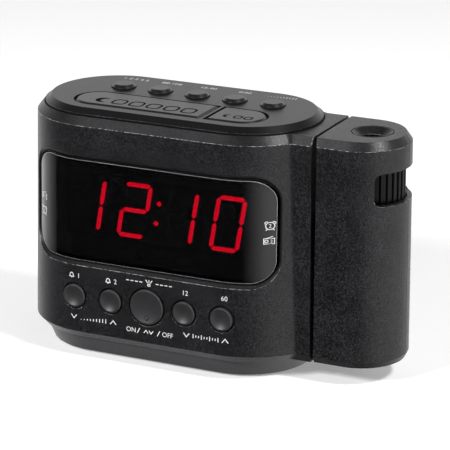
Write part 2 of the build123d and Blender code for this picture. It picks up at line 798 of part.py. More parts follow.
with BuildPart() as led_module:
    with Locations(facing("front", digit_mid_x, display_board_y, digit_mid_z)):
        block(2 * module_half, 2 * (module_high_z - digit_mid_z), module_depth)
    chamfer(led_module.faces().sort_by(Axis.Y)[0].edges(), module_margin / 4)
save(led_module, "led_module")

with BuildPart() as digit_segments:
    with BuildSketch(Plane.XZ.offset(-module_face_y)) as segment_faces:
        for middle_x in digit_x:
            for ends in digit_bars:
                with BuildLine():
                    Polyline(*segment_loop(middle_x, *ends), close=True)
                make_face()
        for side in (1, -1):
            with Locations((digit_mid_x + slant * side * colon_rise, digit_mid_z + side * colon_rise)):
                Circle(colon_dot_r)
    extrude(segment_faces.sketch, amount=segment_proud)
save(digit_segments, "digit_segments")

# ------------------------------------------------------------------ front keys and their switches
switch_top = switch_height + plunger_height

for name, (key_x, key_r) in front_keys.items():
    face_y = front_y(key_x, key_row_z) - key_proud
    collar_r = key_r + collar_reach
    collar_ends = (key_x - collar_r, key_x + collar_r)
    wall_back_y = max(front_y(end_x, key_row_z + collar_r, wall) for end_x in collar_ends)
    collar_y = wall_back_y + drop_in_gap
    stem_y = display_board_y - switch_top - key_travel - press_stop
    hollow_r = key_r - key_rim
    sphere_r = (hollow_r**2 + key_dish**2) / (2 * key_dish)
    with BuildPart() as key:
        with Locations(facing("back", key_x, face_y, key_row_z)):
            rod(key_r, collar_y - face_y)
        chamfer(key.edges().group_by(Axis.Y)[0], key_rim / 2)
        with Locations((key_x, face_y + key_dish - sphere_r, key_row_z)):
            Sphere(sphere_r, mode=Mode.SUBTRACT)
        with Locations(facing("back", key_x, collar_y, key_row_z)):
            rod(collar_r, collar_thickness)
            rod(stem_r, stem_y - collar_y)
        if name == "projection_key":
            nub_y = face_y + key_dish - sphere_r + sqrt(sphere_r**2 - nub_drop**2)
            with Locations((key_x, nub_y, key_row_z - nub_drop)):
                Sphere(nub_r)
    save(key, name)

with BuildPart() as front_switches:
    stations = [facing("front", key_x, display_board_y, key_row_z) for key_x, _ in front_keys.values()]
    with Locations(*stations):
        block(switch_size, switch_size, switch_height)
        rod(plunger_r, switch_top)
save(front_switches, "front_switches")

# ------------------------------------------------------------------ keys and bars of the deck, and their board
collar_z = plate_z - drop_in_gap - collar_thickness
top_stem_z = top_board_z + switch_top + key_travel + press_stop

for name, key_x in top_keys.items():
    with BuildPart() as key:
        with Locations((key_x, top_key_y, collar_z)):
            rod(small_key_r, deck_z + top_key_proud - collar_z)
            rod(small_key_r + collar_reach, collar_thickness)
        chamfer(key.edges().group_by(Axis.Z)[-1], top_key_bevel)
        with Locations((key_x, top_key_y, top_stem_z)):
            rod(stem_r, collar_z - top_stem_z)
    save(key, name)

for name, (left_x, right_x) in bars.items():
    with BuildPart() as bar:
        extrude(bar_outline(collar_z, left_x, right_x, 0), amount=deck_z + bar_proud - collar_z)
        chamfer(bar.faces().sort_by(Axis.Z)[-1].edges(), bar_chamfer)
        extrude(bar_outline(collar_z, left_x, right_x, -bar_gap), amount=collar_thickness)
        with Locations((bar_stem_x[name], bar_y, top_stem_z)):
            rod(stem_r, collar_z - top_stem_z)
    save(bar, name)

with BuildPart() as top_board:
    board_low_z = top_board_z - board_thickness
    board_front_y = display_board_back_y + 2 * float_gap
    extrude(stadium(board_low_z, deck_r - deck_plate - end_land), amount=board_thickness)
    with Locations((case_mid_x, board_front_y - low_r / 2, board_low_z)):
        block(2 * overall_width, low_r, board_thickness, Mode.SUBTRACT)
    with Locations(*[(post_x, post_y, board_low_z) for post_x, post_y in top_posts]):
        rod(board_screw_r + float_gap, board_thickness, Mode.SUBTRACT)
save(top_board, "top_board")

with BuildPart() as top_switches:
    stations = [(key_x, top_key_y, top_board_z) for key_x in top_keys.values()]
    stations += [(stem_x, bar_y, top_board_z) for stem_x in bar_stem_x.values()]
    with Locations(*stations):
        block(switch_size, switch_size, switch_height)
        rod(plunger_r, switch_top)
save(top_switches, "top_switches")

# ------------------------------------------------------------------ main board and what stands on it
main_top_z = main_board_z + board_thickness

with BuildPart() as main_board:
    with Locations((case_mid_x, main_board_y, main_board_z)):
        block(board_width, main_board_depth, board_thickness)
    with Locations(*[(post_x, post_y, main_board_z) for post_x, post_y in main_posts]):
        rod(board_screw_r + float_gap, board_thickness, Mode.SUBTRACT)
save(main_board, "main_board")

with BuildPart() as microcontroller:
    with Locations((case_mid_x + chip_size, main_board_y - chip_size / 2, main_top_z)):
        block(chip_size, chip_size, chip_height)
    chamfer(microcontroller.faces().sort_by(Axis.Z)[-1].edges(), chip_height / 5)
save(microcontroller, "microcontroller")

with BuildPart() as tuner_shield:
    with Locations((case_mid_x - board_width / 4, main_board_y, main_top_z)):
        block(*shield_size)
    chamfer(tuner_shield.edges().filter_by(Axis.Z), board_thickness / 2)
save(tuner_shield, "tuner_shield")

with BuildPart() as capacitors:
    stations = [(jack_x + (3 * i + 2) * capacitor_r, main_board_y, main_top_z) for i in range(2)]
    with Locations(*stations):
        rod(capacitor_r, capacitor_height)
    chamfer(capacitors.edges().group_by(Axis.Z)[-1], capacitor_r / 6)
save(capacitors, "capacitors")

with BuildPart() as board_screws:
    bite = board_thickness + board_screw_head + board_screw_bite
    head_y = display_board_back_y + board_screw_head
    top_head_z = top_board_z - board_thickness - board_screw_head
    main_head_z = main_top_z + board_screw_head
    stations = [facing("front", post_x, head_y, post_z) for post_x, post_z in display_posts]
    stations += [facing("up", post_x, post_y, top_head_z) for post_x, post_y in top_posts]
    stations += [facing("down", post_x, post_y, main_head_z) for post_x, post_y in main_posts]
    with Locations(*stations):
        screw(bite, board_screw_r, board_screw_head_r, board_screw_head)
save(board_screws, "board_screws")

# ------------------------------------------------------------------ speaker
speaker_y = speaker_seat_y - float_gap
basket_r = speaker_r - speaker_rim
magnet_y = speaker_y - cone_thickness - speaker_basket

with BuildPart() as speaker_frame:
    with Locations(facing("front", speaker_x, speaker_y, speaker_z)):
        rod(speaker_r, board_thickness)
        frustum(basket_r + board_thickness, magnet_r, speaker_basket)
        frustum(basket_r, magnet_r - board_thickness, speaker_basket, Mode.SUBTRACT)
save(speaker_frame, "speaker_frame")

with BuildPart() as speaker_cone:
    cone_r = basket_r - 2 * cone_thickness
    with Locations(facing("front", speaker_x, speaker_y - cone_thickness, speaker_z)):
        frustum(cone_r, cone_hub_r, cone_depth)
        frustum(cone_r - cone_thickness, cone_hub_r - cone_thickness, cone_depth, Mode.SUBTRACT)
    with Locations(facing("front", speaker_x, speaker_y - cone_depth, speaker_z)):
        rod(cone_hub_r, cone_thickness)
save(speaker_cone, "speaker_cone")

with BuildPart() as speaker_magnet:
    with Locations(facing("front", speaker_x, speaker_y - speaker_basket, speaker_z)):
        rod(magnet_r, magnet_thickness)
    chamfer(speaker_magnet.edges().group_by(Axis.Y)[0], cone_thickness)
save(speaker_magnet, "speaker_magnet")

# ------------------------------------------------------------------ supply inlet and aerial outlet
with BuildPart() as dc_jack:
    jack_front_y = inlet_y - jack_shell / 3
    jack_back_y = jack_front_y - jack_shell - wall - jack_body[1]
    with Locations((jack_x, jack_back_y + jack_body[1] / 2, main_top_z)):
        block(jack_body[0], jack_body[1], inlet_z + jack_body[0] / 2 - main_top_z)
    with Locations(facing("back", jack_x, jack_back_y + jack_body[1] / 2, inlet_z)):
        rod(jack_bore_r + jack_shell, jack_front_y - jack_back_y - jack_body[1] / 2)
    with Locations(facing("front", jack_x, jack_front_y, inlet_z)):
        rod(jack_bore_r, jack_depth, Mode.SUBTRACT)
    with Locations(facing("back", jack_x, jack_front_y - jack_depth, inlet_z)):
        rod(jack_pin_r, jack_depth - jack_shell)
save(dc_jack, "dc_jack")

with BuildPart() as antenna_gland:
    inner_flange_y = wall_r(inlet_z + gland_flange_r) - wall - running_gap
    outer_flange_y = inlet_y - gland_flange
    with Locations(facing("back", gland_x, outer_flange_y, inlet_z)):
        rod(gland_flange_r, gland_flange)
    with Locations(facing("back", gland_x, inner_flange_y - gland_flange, inlet_z)):
        rod(gland_flange_r, gland_flange)
        rod(gland_r, outer_flange_y - inner_flange_y + gland_flange)
        rod(gland_wire_r, 3 * wall, Mode.SUBTRACT)
save(antenna_gland, "antenna_gland")

# ------------------------------------------------------------------ projector arm shells
optic_x = overall_width / 2 - optic_inset
slot_high_z = shelf_z - slot_drop
slot_low_z = slot_high_z - slot_height
wheel_low_z = (slot_low_z + slot_high_z - wheel_height) / 2
wheel_high_z = wheel_low_z + wheel_height
barrel_low_z = wheel_low_z - barrel_tail
guide_hole_r = barrel_r + drop_in_gap
guide_ring_r = guide_hole_r + guide_ring
low_guide_z = slot_low_z - sill - guide_plate - barrel_travel / 2
high_guide_z = slot_high_z + sill
holder_top_z = barrel_low_z - 2 * barrel_travel
cradle_z = holder_top_z - holder_height
arm_inner_x = arm_x + arm_wall
arm_hollow_r = arm_r - arm_wall
cradle_x = arm_inner_x + pivot_flange + drop_in_gap + arm_wall / 2
arm_screw_z = (arm_bottom_z + arm_screw_low, cradle_z - cradle_plate - arm_screw_high)

with BuildPart() as arm_body:
    sections = (
        (arm_bottom_z, arm_heel_r, arm_x),
        (arm_low_z, arm_r, arm_x),
        (high_crease_z, arm_r, arm_x + seam_lean),
        (shelf_z, arm_crown_r, arm_x),
    )
    loft([arm_outline(*section) for section in sections], ruled=True)
    hollow = (
        (arm_bottom_z + arm_wall, arm_hollow_r),
        (high_crease_z - arm_wall / 2, arm_hollow_r),
        (shelf_z - arm_wall, arm_crown_r - arm_wall / 2),
    )
    loft([arm_outline(z, radius, arm_inner_x) for z, radius in hollow], ruled=True, mode=Mode.SUBTRACT)

    # guide plates of the focusing barrel and the cradle of the slide holder
    overlap = arm_wall / 4
    for plate_low_z, thickness, start_x in (
        (low_guide_z, guide_plate + barrel_travel / 2, arm_inner_x),
        (high_guide_z, guide_plate, arm_inner_x),
        (cradle_z - cradle_plate, cradle_plate, cradle_x),
    ):
        extrude(arm_outline(plate_low_z, arm_hollow_r + overlap, start_x - overlap), amount=thickness)
    with Locations((optic_x, 0, slot_low_z - sill)):
        rod(guide_ring_r, wheel_low_z - 2 * running_gap - slot_low_z + sill)
    with Locations((optic_x, 0, wheel_high_z + 2 * running_gap)):
        rod(guide_ring_r, high_guide_z - wheel_high_z - 2 * running_gap)
    with Locations((optic_x, 0, cradle_z)):
        rod(holder_r + float_gap + cradle_ring, cradle_plate)
        rod(holder_r + float_gap, cradle_plate, Mode.SUBTRACT)

    # window of the focus wheel
    with BuildSketch(Plane.YZ.offset(optic_x)) as wheel_window:
        with Locations((0, (slot_low_z + slot_high_z) / 2)):
            RectangleRounded(2 * slot_half, slot_height, slot_corner_r)
    extrude(wheel_window.sketch, amount=2 * optic_inset, mode=Mode.SUBTRACT)

    # dished projection opening with the seat of its cover glass
    with Locations((optic_x, 0, shelf_z - funnel_depth)):
        rod(funnel_r, funnel_depth - arm_wall / 2)
    with Locations((optic_x, 0, shelf_z - dish_groove)):
        rod(dish_r + dish_groove, dish_groove, Mode.SUBTRACT)
        rod(dish_r, dish_groove)
    with Locations((optic_x, 0, shelf_z - dish_depth)):
        frustum(dish_throat_r, dish_r - dish_lip, dish_depth, Mode.SUBTRACT)
    with Locations((optic_x, 0, shelf_z - funnel_depth)):
        rod(dish_throat_r, funnel_depth, Mode.SUBTRACT)
        rod(cover_glass_r + running_gap, funnel_depth - dish_depth - throat_lip, Mode.SUBTRACT)

    # path of the barrel with its two key slots
    with Locations((optic_x, 0, low_guide_z)):
        rod(guide_hole_r, high_guide_z + guide_plate - low_guide_z, Mode.SUBTRACT)
        block(
            guide_key_width + 2 * float_gap,
            2 * (barrel_r + guide_key + float_gap),
            wheel_low_z - low_guide_z,
            Mode.SUBTRACT,
        )

    # flat pad and hole of the pivot tube, and screw bosses across the arm
    with Locations(facing("right", arm_x, 0, arm_mid_z)):
        rod(shoulder_disc_r, arm_wall)
        rod(pivot_r + running_gap, arm_wall, Mode.SUBTRACT)
    for screw_z in arm_screw_z:
        with Locations(facing("back", arm_end_x, -arm_hollow_r - overlap, screw_z)):
            rod(arm_boss_r, 2 * (arm_hollow_r + overlap))
        with Locations(facing("back", arm_end_x, arm_screw_seat - arm_screw_length, screw_z)):
            rod(screw_r, 2 * arm_r, Mode.SUBTRACT)
        with Locations(facing("back", arm_end_x, 0, screw_z)):
            rod(screw_r + float_gap, arm_r, Mode.SUBTRACT)
        with Locations(facing("back", arm_end_x, arm_screw_seat, screw_z)):
            rod(screw_head_r + float_gap, arm_r, Mode.SUBTRACT)

for name, side in (("arm_front_shell", -1), ("arm_rear_shell", 1)):
    with BuildPart() as shell:
        add(arm_body.part)
        with Locations((arm_end_x, side * (parting_gap / 2 + low_r), 0)):
            block(2 * overall_width, 2 * low_r, 2 * deck_z, Mode.INTERSECT)
    save(shell, name)

with BuildPart() as arm_screws:
    head_y = arm_screw_seat + screw_head
    with Locations(*[facing("front", arm_end_x, head_y, screw_z) for screw_z in arm_screw_z]):
        screw(arm_screw_length, screw_r - running_gap, screw_head_r, screw_head)
save(arm_screws, "arm_screws")

# ------------------------------------------------------------------ pivot of the arm
washer_x = bearing_x - running_gap - washer_thickness
clip_x = washer_x - running_gap - clip_thickness
tube_start_x = clip_x - running_gap - end_land
tube_end_x = arm_inner_x + pivot_flange

with BuildPart() as pivot_tube:
    with Locations(facing("right", tube_start_x, 0, arm_mid_z)):
        rod(pivot_r, tube_end_x - tube_start_x)
    with Locations(facing("right", seam_x + running_gap, 0, arm_mid_z)):
        rod(shoulder_disc_r, seam_gap - running_gap)
    with Locations(facing("right", arm_inner_x, 0, arm_mid_z)):
        rod(pivot_flange_r, pivot_flange)
    with Locations(facing("right", clip_x - running_gap, 0, arm_mid_z)):
        rod(pivot_r + clip_groove, clip_thickness + 2 * running_gap, Mode.SUBTRACT)
        rod(pivot_r - clip_groove, clip_thickness + 2 * running_gap)
    with Locations(facing("right", tube_start_x, 0, arm_mid_z)):
        rod(pivot_bore_r, tube_end_x - tube_start_x, Mode.SUBTRACT)
save(pivot_tube, "pivot_tube")

with BuildPart() as pivot_clip:
    with BuildSketch(Plane.YZ.offset(clip_x)) as clip_face:
        with Locations((0, arm_mid_z)):
            Circle(pivot_r - clip_groove + running_gap + clip_width)
            Circle(pivot_r - clip_groove + running_gap, mode=Mode.SUBTRACT)
            reach = 2 * pivot_r
            half_mouth = radians(clip_mouth / 2)
            Polygon(
                (0, 0),
                (reach * sin(half_mouth), -reach * cos(half_mouth)),
                (-reach * sin(half_mouth), -reach * cos(half_mouth)),
                align=None,
                mode=Mode.SUBTRACT,
            )
    extrude(clip_face.sketch, amount=clip_thickness)
save(pivot_clip, "pivot_clip")

with BuildPart() as pivot_washer:
    with Locations(facing("right", washer_x, 0, arm_mid_z)):
        rod(washer_r, washer_thickness)
        rod(pivot_r + running_gap, washer_thickness, Mode.SUBTRACT)
save(pivot_washer, "pivot_washer")

# ------------------------------------------------------------------ optics
with BuildPart() as focus_wheel:
    with Locations((optic_x, 0, wheel_low_z)):
        rod(wheel_r - wheel_rib_r, wheel_height)
        with PolarLocations(wheel_r - wheel_rib_r, wheel_ribs):
            rod(wheel_rib_r, wheel_height)
        rod(barrel_r + running_gap, wheel_height, Mode.SUBTRACT)
save(focus_wheel, "focus_wheel")

with BuildPart() as lens_barrel:
    lens_seat_z = wheel_high_z - focus_lens_thickness / 2
    with Locations((optic_x, 0, barrel_low_z)):
        rod(barrel_r, barrel_length)
        block(
            guide_key_width,
            2 * (barrel_r + guide_key),
            wheel_low_z - barrel_travel - float_gap - barrel_low_z,
        )
        rod(barrel_r - 2 * barrel_wall, barrel_length, Mode.SUBTRACT)
    with Locations((optic_x, 0, lens_seat_z)):
        rod(barrel_r - barrel_wall, barrel_low_z + barrel_length - lens_seat_z, Mode.SUBTRACT)
save(lens_barrel, "lens_barrel")


def lens_blank(radius, edge, low_z):
    """Round lens with a cylindrical edge and a domed upper side."""
    dome = edge / 2
    sphere_r = (radius**2 + dome**2) / (2 * dome)
    with Locations((optic_x, 0, low_z)):
        rod(radius, edge / 2 + dome)
    with Locations((optic_x, 0, low_z + edge / 2 + dome - sphere_r)):
        Sphere(sphere_r, mode=Mode.INTERSECT)


with BuildPart() as focus_lens:
    lens_blank(barrel_r - barrel_wall - running_gap, focus_lens_thickness, lens_seat_z)
save(focus_lens, "focus_lens")

with BuildPart() as cover_glass_disc:
    with Locations((optic_x, 0, shelf_z - dish_depth - throat_lip - cover_glass)):
        rod(cover_glass_r, cover_glass)
save(cover_glass_disc, "cover_glass")

with BuildPart() as slide_holder:
    with Locations((optic_x, 0, cradle_z)):
        rod(holder_r, holder_height)
        rod(holder_r - holder_wall, holder_height, Mode.SUBTRACT)
        rod(lamp_board_r + running_gap, board_thickness + float_gap, Mode.SUBTRACT)
    with Locations((optic_x, 0, holder_top_z - slide_thickness - float_gap)):
        block(slide_size + float_gap, slide_size + float_gap, slide_thickness + float_gap, Mode.SUBTRACT)
save(slide_holder, "slide_holder")

with BuildPart() as time_slide:
    with Locations((optic_x, 0, holder_top_z - slide_thickness - float_gap)):
        block(slide_size, slide_size, slide_thickness)
save(time_slide, "time_slide")

with BuildPart() as condenser_lens:
    lens_blank(holder_r - holder_wall - running_gap, condenser_thickness, cradle_z + holder_height / 2)
save(condenser_lens, "condenser_lens")

with BuildPart() as lamp_board:
    with Locations((optic_x, 0, cradle_z)):
        rod(lamp_board_r, board_thickness)
save(lamp_board, "lamp_board")

with BuildPart() as lamp_led:
    with Locations((optic_x, 0, cradle_z + board_thickness)):
        block(lamp_size, lamp_size, lamp_height / 2)
        frustum(lamp_size / 2 - running_gap, lamp_size / 4, lamp_height)
save(lamp_led, "lamp_led")
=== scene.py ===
"""Looks of the projection alarm clock: moulded black plastics, smoked lens, lit digits and printed marks.

Lengths are written in millimetres and turned to metres by MM. X runs to the right, Y to the rear and Z up.
"""
from math import cos, radians, sin, sqrt

import bmesh
import bpy
from mathutils import Matrix, Vector


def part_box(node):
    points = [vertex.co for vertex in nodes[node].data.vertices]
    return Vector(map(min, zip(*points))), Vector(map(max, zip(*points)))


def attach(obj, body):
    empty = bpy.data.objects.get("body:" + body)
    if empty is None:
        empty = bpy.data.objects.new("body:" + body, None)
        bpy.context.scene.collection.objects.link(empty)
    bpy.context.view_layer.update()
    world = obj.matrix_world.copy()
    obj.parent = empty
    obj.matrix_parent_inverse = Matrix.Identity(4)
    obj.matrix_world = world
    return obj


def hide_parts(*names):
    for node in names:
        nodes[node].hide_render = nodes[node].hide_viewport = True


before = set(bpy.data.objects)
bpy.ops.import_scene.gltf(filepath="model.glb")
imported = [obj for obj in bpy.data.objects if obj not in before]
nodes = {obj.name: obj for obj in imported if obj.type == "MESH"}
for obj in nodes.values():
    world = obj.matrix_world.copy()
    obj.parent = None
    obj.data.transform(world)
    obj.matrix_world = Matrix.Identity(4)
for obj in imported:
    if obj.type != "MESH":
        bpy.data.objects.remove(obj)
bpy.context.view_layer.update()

MM = 0.001

# ------------------------------------------------------------------ sizes of the case, in millimetres
LOW_R, HIGH_R = 36.2, 33.9             # end radius of the leaning wall at its low and high crease
LOW_CREASE_Z, HIGH_CREASE_Z = 11.9, 103.4
LEFT_END_X, RIGHT_END_X = -50.0, 14.7  # centres of the rounded ends
DECK_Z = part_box("deck_cover")[1].z / MM
BAR_TOP_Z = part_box("snooze_bar")[1].z / MM
LENS_SUNK = 0.8                        # lens face below the case wall
PRINT = 0.04                           # top of printed ink above its ground
DEBOSS_SHADE_TOP = 0.03                            # top of the painted shade in the debossed lines
SKIN = 0.005                           # underside of both, just clear of the ground


def wall_r(z):
    """Radius of the rounded ends of the leaning wall at a height."""
    return LOW_R + (HIGH_R - LOW_R) * (z - LOW_CREASE_Z) / (HIGH_CREASE_Z - LOW_CREASE_Z)


def on_wall(x, z, lift=0.0):
    """Place on the front wall, lifted off it."""
    past = max(LEFT_END_X - x, x - RIGHT_END_X, 0.0)
    return Vector((x, -sqrt((wall_r(z) + lift) ** 2 - past**2), z)) * MM


# ------------------------------------------------------------------ shader helpers
PLASTIC_IOR = 1.53
DRIFT_MM = 14.0     # slow drift of the colour over a moulding
HIGHLIGHT_PATCH_MM = 1.4        # patches in which edges get a painted highlight
HIGHLIGHT_AIR_MM = 1.5    # open room round an edge that gets the painted highlight
ROLL_MM = 0.4       # rolling marks, drawn coarser than real ones, which wouldn't show
WAVE_MM = 12.0      # waviness of a polished moulding
GLOW_MM = 3.0       # mottle of a lit segment
ROUNDING = {"samples": 4}    # rays that find the rounding of an edge
OPENNESS = {"samples": 8}    # rays that find how open a place is


def linear(hex_colour):
    """sRGB hex to the linear colour that shaders take."""
    parts = [int(hex_colour[i : i + 2], 16) / 255 for i in (1, 3, 5)]
    return [c / 12.92 if c <= 0.04045 else ((c + 0.055) / 1.055) ** 2.4 for c in parts] + [1.0]


def add_node(tree, kind, settings=None, inputs=None):
    """Adds a node, sets its properties, and sets or links its inputs."""
    node = tree.nodes.new(kind)
    for name, value in (settings or {}).items():
        setattr(node, name, value)
    for socket, value in (inputs or {}).items():
        if isinstance(value, bpy.types.NodeSocket):
            tree.links.new(value, node.inputs[socket])
        else:
            node.inputs[socket].default_value = value
    return node


def new_material(name):
    """Material with a plain shader, and the object's own coordinates in metres."""
    material = bpy.data.materials.new(name)
    material.use_nodes = True
    tree = material.node_tree
    tree.nodes.clear()
    shader = add_node(tree, "ShaderNodeBsdfPrincipled")
    add_node(tree, "ShaderNodeOutputMaterial", None, {"Surface": shader.outputs["BSDF"]})
    place = add_node(tree, "ShaderNodeTexCoord").outputs["Object"]
    return material, tree, shader, place


def per_mm(size):
    """Texture scale whose features are this many millimetres across."""
    return 1 / (size * MM)


def stops(node, pairs):
    """Sets a colour ramp's stops from pairs of position and hex colour."""
    ramp = node.color_ramp
    while len(ramp.elements) < len(pairs):
        ramp.elements.new(0.5)
    for element, (position, colour) in zip(ramp.elements, pairs):
        element.position = position
        element.color = linear(colour)


def painted_edge_highlight(tree, place, rounded):
    """Mask of the open edges under a slope, where a pale colour is painted as a highlight, in uneven
    patches.

    At such an edge the rounded normal leaves the face's own and points up and out, and nothing stands
    close by.
    """
    own = add_node(tree, "ShaderNodeNewGeometry").outputs["Normal"]
    closeness = add_node(tree, "ShaderNodeVectorMath", {"operation": "DOT_PRODUCT"}, {0: own, 1: rounded})
    height = add_node(tree, "ShaderNodeSeparateXYZ", None, {"Vector": rounded}).outputs["Z"]
    air = add_node(tree, "ShaderNodeAmbientOcclusion", OPENNESS, {"Distance": HIGHLIGHT_AIR_MM * MM})
    patches = add_node(
        tree, "ShaderNodeTexNoise", None, {"Vector": place, "Scale": per_mm(HIGHLIGHT_PATCH_MM), "Detail": 1.0}
    )
    mask = 1.0
    # each value with where the rubbing starts and where it is whole
    for value, start, whole in (
        (closeness.outputs["Value"], 0.995, 0.95),
        (height, 0.12, 0.3),
        (height, 0.8, 0.65),
        (air.outputs["AO"], 0.78, 0.93),
        (patches.outputs["Fac"], 0.4, 0.6),
    ):
        share = add_node(
            tree, "ShaderNodeMapRange", None, {"Value": value, "From Min": start, "From Max": whole}
        ).outputs["Result"]
        mask = add_node(tree, "ShaderNodeMath", {"operation": "MULTIPLY"}, {0: mask, 1: share}).outputs[0]
    return mask


def narrow_gap_shade(tree, reach_mm):
    """Mask of the walls of narrow gaps, which are made dull and painted black as shade."""
    air = add_node(tree, "ShaderNodeAmbientOcclusion", OPENNESS, {"Distance": reach_mm * MM})
    return add_node(
        tree, "ShaderNodeMapRange", None, {"Value": air.outputs["AO"], "From Min": 0.88, "From Max": 0.62}
    ).outputs["Result"]


def moulded_plastic(
    name,
    dark,
    light,
    grain_mm,
    depth_mm,
    roughness,
    spread=0.06,
    edge_mm=0.2,
    shine=0.5,
    edge_highlight=None,
    gap_mm=None,
):
    """Opaque moulded plastic: the tool's grain shows as lighter specks, as bump and as uneven gloss.

    The gloss varies by spread, edges look rounded by edge_mm, open upward edges get a painted highlight in
    the pale colour given, and walls of gaps about as narrow as gap_mm are dull and painted black as shade.
    """
    material, tree, shader, place = new_material(name)
    drift = add_node(
        tree, "ShaderNodeTexNoise", None, {"Vector": place, "Scale": per_mm(DRIFT_MM), "Detail": 2.0}
    )
    grain = add_node(
        tree,
        "ShaderNodeTexNoise",
        None,
        {"Vector": place, "Scale": per_mm(grain_mm), "Detail": 2.0, "Roughness": 0.6},
    ).outputs["Fac"]
    mixed = add_node(
        tree, "ShaderNodeMath", {"operation": "MULTIPLY_ADD"}, {0: drift.outputs["Fac"], 1: 0.15, 2: grain}
    )
    colour = add_node(tree, "ShaderNodeValToRGB", None, {"Fac": mixed.outputs[0]})
    stops(colour, ((0.54, dark), (0.8, light)))
    skin = colour.outputs["Color"]
    gloss = add_node(
        tree,
        "ShaderNodeMapRange",
        None,
        {
            "Value": grain,
            "From Min": 0.3,
            "From Max": 0.7,
            "To Min": roughness + spread,
            "To Max": roughness - spread,
        },
    ).outputs["Result"]
    rounded = add_node(tree, "ShaderNodeBevel", ROUNDING, {"Radius": edge_mm * MM}).outputs["Normal"]
    bump = add_node(
        tree,
        "ShaderNodeBump",
        None,
        {"Height": grain, "Strength": 1.0, "Distance": depth_mm * MM, "Normal": rounded},
    )
    # painted highlight: open edges that face up and out take a pale colour
    if edge_highlight:
        skin = add_node(
            tree,
            "ShaderNodeMix",
            {"data_type": "RGBA"},
            {"Factor": painted_edge_highlight(tree, place, rounded), "A": skin, "B": linear(edge_highlight)},
        ).outputs["Result"]
    # painted shade: the walls of narrow gaps turn black, and dull
    if gap_mm:
        gaps = narrow_gap_shade(tree, gap_mm)
        skin = add_node(
            tree, "ShaderNodeMix", {"data_type": "RGBA"}, {"Factor": gaps, "A": skin, "B": linear("#000000")}
        ).outputs["Result"]
        gloss = add_node(tree, "ShaderNodeMath", {"operation": "MAXIMUM"}, {0: gloss, 1: gaps}).outputs[0]
    tree.links.new(skin, shader.inputs["Base Color"])
    tree.links.new(gloss, shader.inputs["Roughness"])
    tree.links.new(bump.outputs["Normal"], shader.inputs["Normal"])
    shader.inputs["IOR"].default_value = PLASTIC_IOR
    shader.inputs["Specular IOR Level"].default_value = shine
    return material


def rolled_metal(name, colour, roughness):
    """Pressed or plated metal with fine rolling marks, drawn out along Y, in its gloss."""
    material, tree, shader, place = new_material(name)
    drawn_out = add_node(tree, "ShaderNodeMapping", None, {"Vector": place, "Scale": (1.0, 0.1, 1.0)})
    marks = add_node(
        tree,
        "ShaderNodeTexNoise",
        None,
        {"Vector": drawn_out.outputs["Vector"], "Scale": per_mm(ROLL_MM), "Detail": 3.0},
    ).outputs["Fac"]
    gloss = add_node(
        tree,
        "ShaderNodeMapRange",
        None,
        {"Value": marks, "To Min": roughness - 0.1, "To Max": roughness + 0.1},
    )
    bump = add_node(tree, "ShaderNodeBump", None, {"Height": marks, "Strength": 0.5, "Distance": 0.01 * MM})
    shader.inputs["Base Color"].default_value = linear(colour)
    shader.inputs["Metallic"].default_value = 1.0
    tree.links.new(gloss.outputs["Result"], shader.inputs["Roughness"])
    tree.links.new(bump.outputs["Normal"], shader.inputs["Normal"])
    return material


def clear_plastic(name, tint, roughness, ior, transmission=1.0):
    """Polished transparent moulding with the faintest waviness."""
    material, tree, shader, place = new_material(name)
    waves = add_node(
        tree, "ShaderNodeTexNoise", None, {"Vector": place, "Scale": per_mm(WAVE_MM), "Detail": 1.0}
    )
    rounded = add_node(tree, "ShaderNodeBevel", ROUNDING, {"Radius": 0.3 * MM}).outputs["Normal"]
    bump = add_node(
        tree,
        "ShaderNodeBump",
        None,
        {"Height": waves.outputs["Fac"], "Strength": 0.3, "Distance": 0.02 * MM, "Normal": rounded},
    )
    shader.inputs["Base Color"].default_value = linear(tint)
    shader.inputs["Roughness"].default_value = roughness
    shader.inputs["IOR"].default_value = ior
    shader.inputs["Transmission Weight"].default_value = transmission
    tree.links.new(bump.outputs["Normal"], shader.inputs["Normal"])
    return material


def painted_rim_highlight(material, tint, highlight_tone, edge_mm):
    """Rim of a clear sheet painted pale and opaque as a highlight, so a thin pale line outlines the sheet.
    """
    tree = material.node_tree
    shader = tree.nodes["Principled BSDF"]
    own = add_node(tree, "ShaderNodeNewGeometry").outputs["Normal"]
    rounded = add_node(tree, "ShaderNodeBevel", ROUNDING, {"Radius": edge_mm * MM}).outputs["Normal"]
    closeness = add_node(tree, "ShaderNodeVectorMath", {"operation": "DOT_PRODUCT"}, {0: own, 1: rounded})
    rim = add_node(
        tree,
        "ShaderNodeMapRange",
        None,
        {"Value": closeness.outputs["Value"], "From Min": 0.99, "From Max": 0.93},
    ).outputs["Result"]
    clear = add_node(tree, "ShaderNodeMath", {"operation": "SUBTRACT"}, {0: 1.0, 1: rim})
    colour = add_node(
        tree, "ShaderNodeMix", {"data_type": "RGBA"}, {"Factor": rim, "A": linear(tint), "B": linear(highlight_tone)}
    )
    tree.links.new(colour.outputs["Result"], shader.inputs["Base Color"])
    tree.links.new(clear.outputs[0], shader.inputs["Transmission Weight"])


def glowing_epoxy(name, core, strength, body):
    """Diffused epoxy of a lit segment, whose glow is a little uneven."""
    material, tree, shader, place = new_material(name)
    cloud = add_node(
        tree, "ShaderNodeTexNoise", None, {"Vector": place, "Scale": per_mm(GLOW_MM), "Detail": 1.0}
    )
    glow = add_node(
        tree,
        "ShaderNodeMapRange",
        None,
        {"Value": cloud.outputs["Fac"], "To Min": strength * 0.9, "To Max": strength * 1.1},
    )
    shader.inputs["Base Color"].default_value = linear(body)
    shader.inputs["Roughness"].default_value = 0.5
    shader.inputs["Emission Color"].default_value = linear(core)
    tree.links.new(glow.outputs["Result"], shader.inputs["Emission Strength"])
    return material


